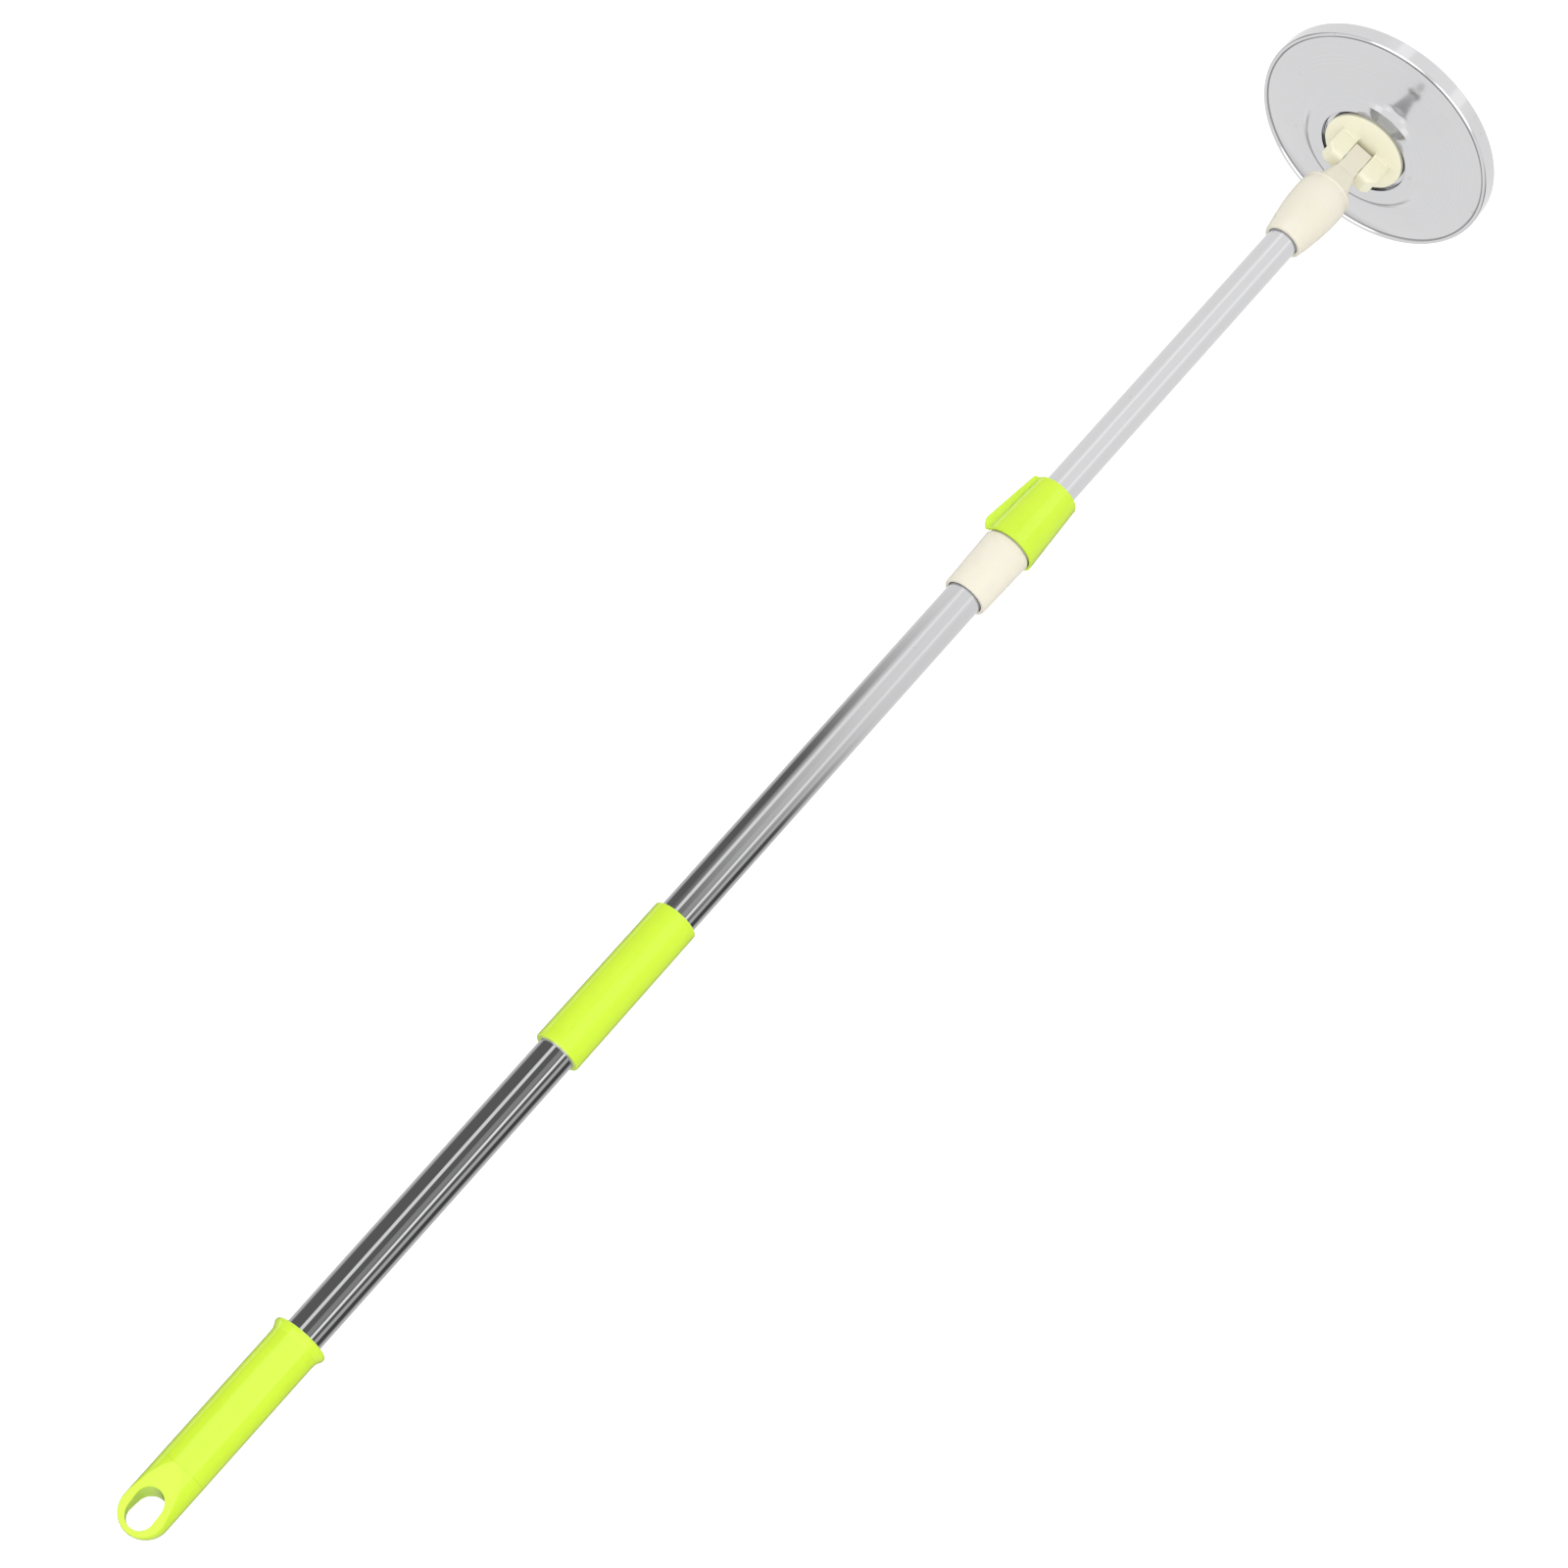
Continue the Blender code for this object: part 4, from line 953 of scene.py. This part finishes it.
def make_neck():
    bore, lip = INNER_R + GAP, INNER_R + MOUTH_PLAY
    mouth, belly = bore + MOUTH_WALL, NECK_R
    corners = [(bore, NECK_TOP - 3.0), (lip, NECK_TOP - 2.0), (lip, NECK_TOP, 0.2), (mouth, NECK_TOP, 0.9)]
    for step in range(1, 25):
        share = step / 24
        corners.append((ramp(math.sin(share * math.pi / 2), mouth, belly), ramp(share, NECK_TOP, BELLY_Z)))
    ridge = belly - SHOULDER_DROP
    for step in range(1, 9):
        share = step / 8
        corners.append((belly - SHOULDER_DROP * share**2, ramp(share, BELLY_Z, SHOULDER_Z + 2.4)))
    corners += [(ridge - 0.3, SHOULDER_Z + 2.0, 0.3), (ridge + 0.35, SHOULDER_Z + 1.3, 0.4)]
    corners += [(ridge + 0.3, SHOULDER_Z + 0.3, 0.5), (ridge - 0.9, SHOULDER_Z - 0.5, 0.5), (0, SHOULDER_Z - 0.5)]
    corners += [(0, NECK_TOP - SOCKET_DEPTH), (bore, NECK_TOP - SOCKET_DEPTH)]
    neck = turned("neck_moulding", corners, CREAM)
    wide = NECK_R - 4.0
    rings = []
    for step in range(13):
        share = step / 12
        half_x = ramp(share, wide, TONGUE_WIDE + 0.4)
        half_y = ramp(share**0.9, wide, TONGUE_HALF + 1.2)
        rings.append(squircle(half_x, half_y, 2 + 4 * share, ramp(share, SHOULDER_Z + 1.0, WEDGE_END)))
    wedge = loft("wedge", rings)
    outline = [(TONGUE_WIDE, WEDGE_END + 8), (-TONGUE_WIDE, WEDGE_END + 8)]
    corner = math.degrees(math.acos(TONGUE_WIDE / TONGUE_REACH))
    for step in range(25):
        a = math.radians(180 + corner + (180 - 2 * corner) * step / 24)
        outline.append((TONGUE_REACH * math.cos(a), PIVOT_Z + TONGUE_REACH * math.sin(a)))
    tongue = solid("tongue", outline, -TONGUE_HALF, TONGUE_HALF, ACROSS)
    weld(neck, wedge, tongue)
    soften(neck, CREAM, 0.38, 3)
    carve(neck, solid("pin_hole", circle(PIN_HOLE_R, 48, (0, PIVOT_Z)), -20, 20, ACROSS))
    return settle(shade(neck, CARVED_SHARP), "inner", "cream_plastic", "neck_socket")


neck = make_neck()
print("neck:", len(neck.data.polygons), "faces")

# %% [markdown]
# ## Hub
# The hub is a flat round flange with two ears. Each ear stands on a small plinth, is rounded over the
# pivot and is chamfered at its outer end. It is built square, in the head's own frame, and then tilted
# with the head.

# %% Make the hub
HUB_FACE = -11.7
HUB_R, HUB_THICK = 27.0, 3.0
EAR_IN, EAR_OUT = TONGUE_HALF + GAP, TONGUE_HALF + GAP + 12.0
EAR_HALF, EAR_TOP = 6.8, 8.2
SLANT_FOOT = 3.7  # where the chamfer on an ear's outer end starts
SHAFT_R = 8.0
SHAFT_END = HUB_FACE - HUB_THICK - 13.3
SCREW_HOLE_R, SCREW_HOLE_DEPTH = 2.3, 10.6


def ear_blocks():
    blocks = []
    bottom = HUB_FACE - 1
    outline = rounded([(-EAR_HALF, bottom), (EAR_HALF, bottom), (EAR_HALF, EAR_TOP, 3.6), (-EAR_HALF, EAR_TOP, 3.6)])
    across = Matrix.Rotation(math.pi / 2, 4, "Z") @ Matrix.Rotation(math.pi / 2, 4, "X")
    for side in (1, -1):
        near, far = side * EAR_IN, side * EAR_OUT
        ear = solid("ear", outline, min(-near, -far), max(-near, -far), HEAD @ ACROSS)
        past, above = far + side * 4, EAR_TOP + 1.5
        slant = [(far - side * 6.5, above), (past, above), (past, SLANT_FOOT), (far, SLANT_FOOT)]
        carve(ear, solid("slant", slant, -20, 20, HEAD @ across))
        wide, toe = EAR_HALF + 0.9, far - side * 1.5
        plinth = [(-wide, near), (wide, near), (wide, toe), (-wide, toe)]
        foot = solid("plinth", plinth, HUB_FACE - 1, HUB_FACE + 1.6, HEAD)
        blocks += [ear, foot]
    return blocks


def make_hub():
    back = HUB_FACE - HUB_THICK
    flange = [(0, HUB_FACE), (HUB_R, HUB_FACE, 0.8), (HUB_R, back, 0.3)]
    flange += [(SHAFT_R, back), (SHAFT_R, SHAFT_END, 0.4), (0, SHAFT_END)]
    # The hub's cream is the lighter copy of the cream plastic: painted light.
    hub = turned("hub_moulding", flange, LIT_CREAM, place=HEAD)
    weld(hub, *ear_blocks())
    soften(hub, LIT_CREAM, 0.35, 2)
    carve(hub, solid("pin_hole", circle(PIN_HOLE_R, 48), -30, 30, HEAD @ ACROSS))
    carve(hub, solid("screw_hole", circle(SCREW_HOLE_R, 32), SHAFT_END - 2, SHAFT_END + SCREW_HOLE_DEPTH, HEAD))
    return settle(shade(hub, CARVED_SHARP), "hub", "cream_plastic", "hub")


hub = make_hub()
print("hub:", len(hub.data.polygons), "faces")

# %% [markdown]
# ## Steel head
# The head is one pressed sheet: a flat ring round the hub, a soft step down, a shallow dome, a rolled bead
# at the rim and a skirt whose lip turns in. The dome's slope is what places the pole's reflection, so the
# dome is a smooth curve and not a few straight runs.

# %% Make the steel head
HOLE_R = HUB_R + 3.0
PLATEAU_R = HOLE_R + 9.5
DOME_TOP_R, DOME_TOP = PLATEAU_R + 5.0, HUB_FACE - 3.4
DISC_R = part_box("disc_cover")[1].y / MM
DOME_R, DOME_FOOT = DISC_R - 3.2, DOME_TOP - 9.0
SKIRT_END = DOME_FOOT - 10.2
SHEET = 0.6
LIP_WIDTH = 2.6  # of the skirt's turned-in lip
DOME_BOW = 0.8
LEDGE, LEDGE_R = HUB_FACE - 3.6, 24.5  # the turned-in edge of the hole, under the hub's flange


def dome(share, foot):
    """A point of the dome, from its top to its foot, bowed up in between."""
    return ramp(share, DOME_TOP_R, foot), ramp(share, DOME_TOP, DOME_FOOT) + 4 * DOME_BOW * share * (1 - share)


def cover_outline():
    """The outer side, from the hole to the end of the skirt."""
    points = [(LEDGE_R, LEDGE, 0.1), (HOLE_R - SHEET, LEDGE, 0.5), (HOLE_R - SHEET, HUB_FACE, 0.9)]
    points += [(PLATEAU_R - 0.5, HUB_FACE, 1.2), (PLATEAU_R + 2.4, HUB_FACE - 2.1, 2.5)]
    points += [dome(step / 24, DOME_R) for step in range(25)]
    points += [(DOME_R + 0.4, DOME_FOOT - 0.7, 0.2), (DOME_R + 1.1, DOME_FOOT + 0.5, 0.5)]
    points += [(DISC_R - 0.65, DOME_FOOT + 1.0, 0.5), (DISC_R, DOME_FOOT, 0.5), (DISC_R, SKIRT_END, 0.7)]
    return points


def make_cover():
    turned_in, wall = DISC_R - LIP_WIDTH, DISC_R - SHEET
    inside = [(turned_in, SKIRT_END, 0.2), (turned_in, SKIRT_END + SHEET, 0.2), (wall, SKIRT_END + SHEET, 0.3)]
    inside += [(wall, DOME_FOOT - 0.8, 0.4)]
    for step in range(13):
        radius, z = dome(1 - step / 12, DOME_R - SHEET)
        inside.append((radius, z - SHEET))
    inside += [(PLATEAU_R + 2.1, HUB_FACE - 2.75, 1.0), (PLATEAU_R - 0.8, HUB_FACE - SHEET, 0.6)]
    inside += [(HOLE_R, HUB_FACE - SHEET, 0.3), (HOLE_R, LEDGE - SHEET, 0.3), (LEDGE_R, LEDGE - SHEET, 0.1)]
    cover = turned("steel_cover", cover_outline() + inside, DISC, 256, HEAD)
    return settle(cover, "disc", "disc_steel", "disc_cover")


cover = make_cover()
print("cover:", len(cover.data.polygons), "faces, tilted", round(HEAD_TILT, 1), "degrees")

# %% [markdown]
# ## Under the head
# A white plate closes the cover from below. It carries the bush on a tall boss, and a washer and a screw
# hold it on the hub's shaft. Ribs on the top side stay hidden, so only its flat face and the recess for
# the screw are worked out here.

# %% Make the plate
RECESS_R = 12.5
WASHER_TOP = SHAFT_END - GAP
PLATE_THICK = 3.6
BUSH_WALL, BOSS_WALL = 1.7, 5.7


def make_plate():
    low = SKIRT_END + SHEET + GAP
    high = low + PLATE_THICK
    rim = DISC_R - SHEET - GAP
    face = DISC_R - 10.0
    seat = SHAFT_R + GAP + BUSH_WALL + GAP
    boss = seat + BOSS_WALL
    step = WASHER_TOP + GAP
    top = HUB_FACE - HUB_THICK - 0.6
    outline = [(seat, top, 0.4), (boss, top, 0.6), (boss, high, 2.0), (rim, high, 0.3), (rim, low, 0.3)]
    outline += [(face, low, 0.3), (face - 0.6, SKIRT_END, 0.5), (RECESS_R, SKIRT_END, 0.6)]
    outline += [(RECESS_R, step, 0.5), (seat, step, 0.3)]
    settle(turned("plate_moulding", outline, WHITE, 192, HEAD), "disc", "white_plastic", "disc_plate")


make_plate()
print("plate made,", PLATE_THICK, "mm thick")

# %% [markdown]
# ### The screw
# The screw's head has a cross recess. Its four arms are one small block repeated round the axis, which is
# a job for instances: the tree makes one arm and sets copies on a ring of points. The arms cross in the
# middle, so the cut has to be told that its tool crosses itself, or it leaves nothing of the screw.

# %% Make the cross-head screw
def ring_of_arms_tree():
    tree = bpy.data.node_groups.new("ring_of_arms", "GeometryNodeTree")
    sizes = [(label, "Float") for label in ("Reach", "Width", "Depth")]
    for label, kind in [("Geometry", "Geometry"), ("Arms", "Int"), *sizes, ("Finish", "Material")]:
        tree.interface.new_socket(label, in_out="INPUT", socket_type=f"NodeSocket{kind}")
    tree.interface.new_socket("Geometry", in_out="OUTPUT", socket_type="NodeSocketGeometry")
    link = tree.links.new
    given = tree.nodes.new("NodeGroupInput").outputs
    size = tree.nodes.new("ShaderNodeCombineXYZ")
    for socket, label in (("X", "Reach"), ("Y", "Width"), ("Z", "Depth")):
        link(given[label], size.inputs[socket])
    arm = tree.nodes.new("GeometryNodeMeshCube")
    link(size.outputs[0], arm.inputs["Size"])
    ring = tree.nodes.new("GeometryNodeMeshCircle")
    link(given["Arms"], ring.inputs["Vertices"])
    link(value_node(tree, "MULTIPLY", given["Reach"], 0.5), ring.inputs["Radius"])
    spread = tree.nodes.new("GeometryNodeInstanceOnPoints")
    link(ring.outputs[0], spread.inputs["Points"])
    link(arm.outputs["Mesh"], spread.inputs["Instance"])
    index = tree.nodes.new("GeometryNodeInputIndex").outputs[0]
    turn = tree.nodes.new("ShaderNodeCombineXYZ")
    step = value_node(tree, "DIVIDE", 2 * math.pi, given["Arms"])
    link(value_node(tree, "MULTIPLY", index, step), turn.inputs["Z"])
    link(turn.outputs[0], spread.inputs["Rotation"])
    finish_tree(tree, spread.outputs[0], given["Finish"])
    return tree


def arms(name, finish, **sizes):
    obj = new_object(name, bpy.data.meshes.new(name))
    modifier = obj.modifiers.new("arms", "NODES")
    modifier.node_group = ring_of_arms_tree()
    set_input(modifier, "Finish", finish)
    for label, value in sizes.items():
        set_input(modifier, label, value)
    return frozen(obj)


WASHER_R, WASHER_THICK = 11.0, 1.2
SCREW_R, SCREW_LENGTH = 2.0, 12
SCREW_HEAD_R, SCREW_HEAD = 3.6, 2.4


def make_screw():
    """The washer and the screw under it; the screw is returned."""
    washer_end = WASHER_TOP - WASHER_THICK
    seat = washer_end - GAP
    end, tip = seat - SCREW_HEAD, seat + SCREW_LENGTH
    washer = [(SCREW_HOLE_R, WASHER_TOP, 0.1), (WASHER_R, WASHER_TOP, 0.25)]
    washer += [(WASHER_R, washer_end, 0.25), (SCREW_HOLE_R, washer_end, 0.1)]
    settle(turned("washer", washer, BRIGHT, 96, HEAD), "hub", "pin_steel", "hub_washer")
    outline = [(0, tip), (1.4, tip), (SCREW_R, tip - 1), (SCREW_R, seat), (SCREW_HEAD_R, seat, 0.15)]
    outline += [(SCREW_HEAD_R, seat - 1.3, 0.8), (2.2, end, 1.2), (0, end)]
    screw = turned("screw", outline, BRIGHT, 64, HEAD)
    cross = arms("cross", BRIGHT, Arms=4, Reach=1.9 * MM, Width=0.7 * MM, Depth=1.6 * MM)
    cross.data.transform(scaled(HEAD @ Matrix.Translation((0, 0, end))))
    carve(screw, cross, crossing=True)
    return settle(shade(screw, CUT_SHARP), "hub", "pin_steel", "hub_screw")


screw = make_screw()
print("screw:", len(screw.data.polygons), "faces")

# %% [markdown]
# ## Pins and hidden pieces
# The pins get rounded ends. The pieces inside the tubes stay as the plain solids and get their finish.

# %% Make the pins and paint what stays
def rod(name, radius, low, high, place, crown):
    corners = [(0, low), (radius, low, crown), (radius, high, crown), (0, high)]
    return turned(name, corners, BRIGHT, 48, place)


TILT_PIN_R = 2.0
lever_pin_low, lever_pin_top, _ = span("lever_pin")
lever_pin = rod("lever_hinge_pin", PIN_R, lever_pin_low, lever_pin_top, HINGE, 0.3)
settle(lever_pin, "pole", "pin_steel", "lever_pin")
pin_reach = EAR_OUT - GAP
settle(rod("tilt_pin", TILT_PIN_R, -pin_reach, pin_reach, HEAD @ ACROSS, 0.5), "hub", "pin_steel", "pivot_pin")

HIDDEN = ("joiner_plug", "joiner_socket", "guide_plug", "brake_shoe", "bearing_bush")
for node in HIDDEN:
    paint(frame["nodes"][node], GREY)
print("pins made,", len(HIDDEN), "hidden pieces painted")

# %% [markdown]
# ## Floor
# The pole hangs over a plain sheet of pale paper. Steel doesn't see the paper: a mirrored ray passes
# through it, so that what the steel shows can be set in the surroundings alone.

# %% Make the floor
FLOOR_DROP = 500  # below the head
FLOOR_REACH = 30000
FLOOR_THICK = 20
FLOOR_GLOW = 0.45  # so that the paper stays pale far from the lights


def make_floor():
    low, reach = CAD_LOW.z / MM - FLOOR_DROP, FLOOR_REACH
    square = [(-reach, -reach), (reach, -reach), (reach, reach), (-reach, reach)]
    floor = solid("floor", square, low - FLOOR_THICK, low)
    paper = bpy.data.materials.new("paper")
    paper.use_nodes = True
    tree = paper.node_tree
    shader = tree.nodes["Principled BSDF"]
    shader.inputs["Base Color"].default_value = (0.9, 0.9, 0.9, 1)
    shader.inputs["Roughness"].default_value = 0.9
    shader.inputs["Specular IOR Level"].default_value = 0.0
    shader.inputs["Emission Color"].default_value = (1, 1, 1, 1)
    shader.inputs["Emission Strength"].default_value = FLOOR_GLOW
    clear = tree.nodes.new("ShaderNodeBsdfTransparent")
    path = tree.nodes.new("ShaderNodeLightPath")
    choice = tree.nodes.new("ShaderNodeMixShader")
    tree.links.new(path.outputs["Is Glossy Ray"], choice.inputs[0])
    tree.links.new(shader.outputs[0], choice.inputs[1])
    tree.links.new(clear.outputs[0], choice.inputs[2])
    tree.links.new(choice.outputs[0], tree.nodes["Material Output"].inputs["Surface"])
    floor.data.materials.append(paper)
    return floor


make_floor()
print("floor laid", FLOOR_DROP, "mm below the head")

# %% [markdown]
# ## Surroundings
# Polished steel has no colour of its own: it shows what stands round it. So the surroundings are a plain
# studio, drawn with math on the direction of each ray. Three kinds of ray see three things. Steel sees a
# pale studio low down and overhead, and dark with tall light strips in between. The clear coat of a
# moulding sees one crisp panel. Everything else gets soft, even light. All angles are in degrees: a turn
# goes round the pole from +X, and a rise goes up from level.

# %% Surroundings that polished steel reflects
AMBIENT = 0.83
DARK = (-95, -50, 0.07, 0.13)  # from this turn to that one, what is dark gets lighter
STRIPS = ((34, 9.5, 0.9), (-16, 14, 0.29), (-40, 7, 1.05), (-74, 11, 0.5))  # (turn, half width, light)
WARM_BACK = (106, 130, 0.0, 0.6)  # past these turns, what stands behind the pole lights its edges
PALE = (48, 60, 0.98, 0.93)  # the pale parts, in front and past these turns
GLEAMS = ((35, 8, 0.16), (-35, 8, 0.15))  # soft strips on the pale parts
DIM_LOW, DIM_TOP = (-26.0, -21.5, 1.0, 0.87), (-5.0, 2.0, 0.87, 1.0)  # between these rises they are dimmer
LOW_FRONT, LOW_LEFT, LOW_RIGHT = (-17.8, -22.0), (-21.0, -23.6), (-20.0, -21.8)  # where the low part starts
TO_LEFT, TO_RIGHT = (45, 70), (-55, -70)
OVERHEAD = (2.0, 12.0)
SOFTBOX = 2.4  # two boxes behind the camera, one to each side
BOX_PLACE, BOX_FOOT, BOX_TOP = (30, 22, 1.0), (6.0, 10.0), (32.0, 40.0, 1.0, 0.0)


def strips(tree, turn, rows):
    """The brightest of these tall strips at each turn round the pole."""
    best = 0.0
    for centre, half, light in rows:
        away = calc(tree, "ABSOLUTE", calc(tree, "SUBTRACT", turn, float(centre)))
        best = calc(tree, "MAXIMUM", between(tree, away, half * 0.7, half * 1.2, light, 0.0), best)
    return best


def blend(tree, share, first, second):
    """First where share is 0, second where it is 1."""
    rest = calc(tree, "SUBTRACT", 1.0, share)
    return calc(tree, "ADD", calc(tree, "MULTIPLY", first, rest), calc(tree, "MULTIPLY", second, share))


def steel_surroundings(tree, turn, rise):
    """What the steel sees: dark with strips low down, pale lower still and overhead."""
    aside = calc(tree, "ABSOLUTE", turn)
    tone = calc(tree, "MAXIMUM", between(tree, turn, *DARK), strips(tree, turn, STRIPS))
    tone = calc(tree, "MAXIMUM", tone, between(tree, aside, *WARM_BACK))
    pale = calc(tree, "ADD", between(tree, aside, *PALE), strips(tree, turn, GLEAMS))
    dim = calc(tree, "MAXIMUM", between(tree, rise, *DIM_LOW), between(tree, rise, *DIM_TOP))
    pale = calc(tree, "MULTIPLY", pale, dim)
    front, left, right = (between(tree, rise, *edge) for edge in (LOW_FRONT, LOW_LEFT, LOW_RIGHT))
    low = blend(tree, between(tree, turn, *TO_LEFT), front, left)
    low = blend(tree, between(tree, turn, *TO_RIGHT), low, right)
    share = calc(tree, "MAXIMUM", low, between(tree, rise, *OVERHEAD))
    seen = blend(tree, share, tone, pale)
    box = calc(tree, "MULTIPLY", strips(tree, aside, (BOX_PLACE,)), between(tree, rise, *BOX_FOOT))
    return blend(tree, calc(tree, "MULTIPLY", box, between(tree, rise, *BOX_TOP)), seen, SOFTBOX)


PANEL_NARROWS = (-11.0, -15.0)  # below these rises the panel is narrow and dim
PANEL_LEFT, PANEL_RIGHT, PANEL_LIGHT = (58.0, 14.0), (-50.0, -34.0), (1.0, 0.6)  # wide part, narrow part
PANEL_EDGE = 3
LAMP, LAMP_LIGHT = (118, 4, 1.0), 1.6


def gloss_surroundings(tree, turn, rise):
    """What a moulding's clear coat sees: a wide panel with crisp sides, and a thin lamp far round."""
    narrow = between(tree, rise, *PANEL_NARROWS)
    from_left = calc(tree, "SUBTRACT", turn, blend(tree, narrow, *PANEL_LEFT))
    from_right = calc(tree, "SUBTRACT", turn, blend(tree, narrow, *PANEL_RIGHT))
    inside_left = between(tree, from_left, -PANEL_EDGE, PANEL_EDGE, 1.0, 0.0)
    panel = calc(tree, "MULTIPLY", inside_left, between(tree, from_right, -PANEL_EDGE, PANEL_EDGE))
    panel = calc(tree, "MULTIPLY", panel, blend(tree, narrow, *PANEL_LIGHT))
    return calc(tree, "ADD", panel, calc(tree, "MULTIPLY", strips(tree, turn, (LAMP,)), LAMP_LIGHT))


def make_world():
    world = bpy.data.worlds.new("studio")
    bpy.context.scene.world = world
    world.use_nodes = True
    tree = world.node_tree
    look = tree.nodes["Background"]
    part = tree.nodes.new("ShaderNodeSeparateXYZ")
    tree.links.new(tree.nodes.new("ShaderNodeTexCoord").outputs["Generated"], part.inputs[0])
    x, y, z = part.outputs
    turn = calc(tree, "MULTIPLY", calc(tree, "ARCTAN2", y, x), math.degrees(1))
    rise = calc(tree, "MULTIPLY", calc(tree, "ARCSINE", z), math.degrees(1))
    path = tree.nodes.new("ShaderNodeLightPath").outputs
    steel = steel_surroundings(tree, turn, rise)
    seen = blend(tree, path["Is Singular Ray"], steel, gloss_surroundings(tree, turn, rise))
    tree.links.new(blend(tree, path["Is Glossy Ray"], AMBIENT, seen), look.inputs["Strength"])
    look.inputs["Color"].default_value = (1, 1, 1, 1)
    return world


world = make_world()
print("surroundings:", len(world.node_tree.nodes), "nodes")

# %% [markdown]
# ## Light
# The mouldings need light that gives them form. A large soft lamp near the camera and a larger one
# overhead do it. Steel and clear coats don't mirror the lamps, because the surroundings already hold
# everything that they show.

# %% Two soft lights
MIDDLE = Vector((0, 0, -0.55))  # of the pole, in metres


def soft_light(name, turn, rise, reach, size, watts):
    data = bpy.data.lights.new(name, "AREA")
    data.shape, data.size, data.energy = "DISK", size, watts
    light = bpy.data.objects.new(name, data)
    a, b = math.radians(turn), math.radians(rise)
    back = Vector((math.cos(a) * math.cos(b), math.sin(a) * math.cos(b), math.sin(b)))
    light.location = MIDDLE + back * reach
    light.rotation_euler = back.to_track_quat("Z", "Y").to_euler()
    light.visible_glossy = False
    bpy.context.scene.collection.objects.link(light)


soft_light("key", -12, 25, 3.0, 1.6, 17)
soft_light("top", 10, 75, 2.6, 2.0, 14)
bpy.context.scene.view_settings.view_transform = "Standard"
print("lit")
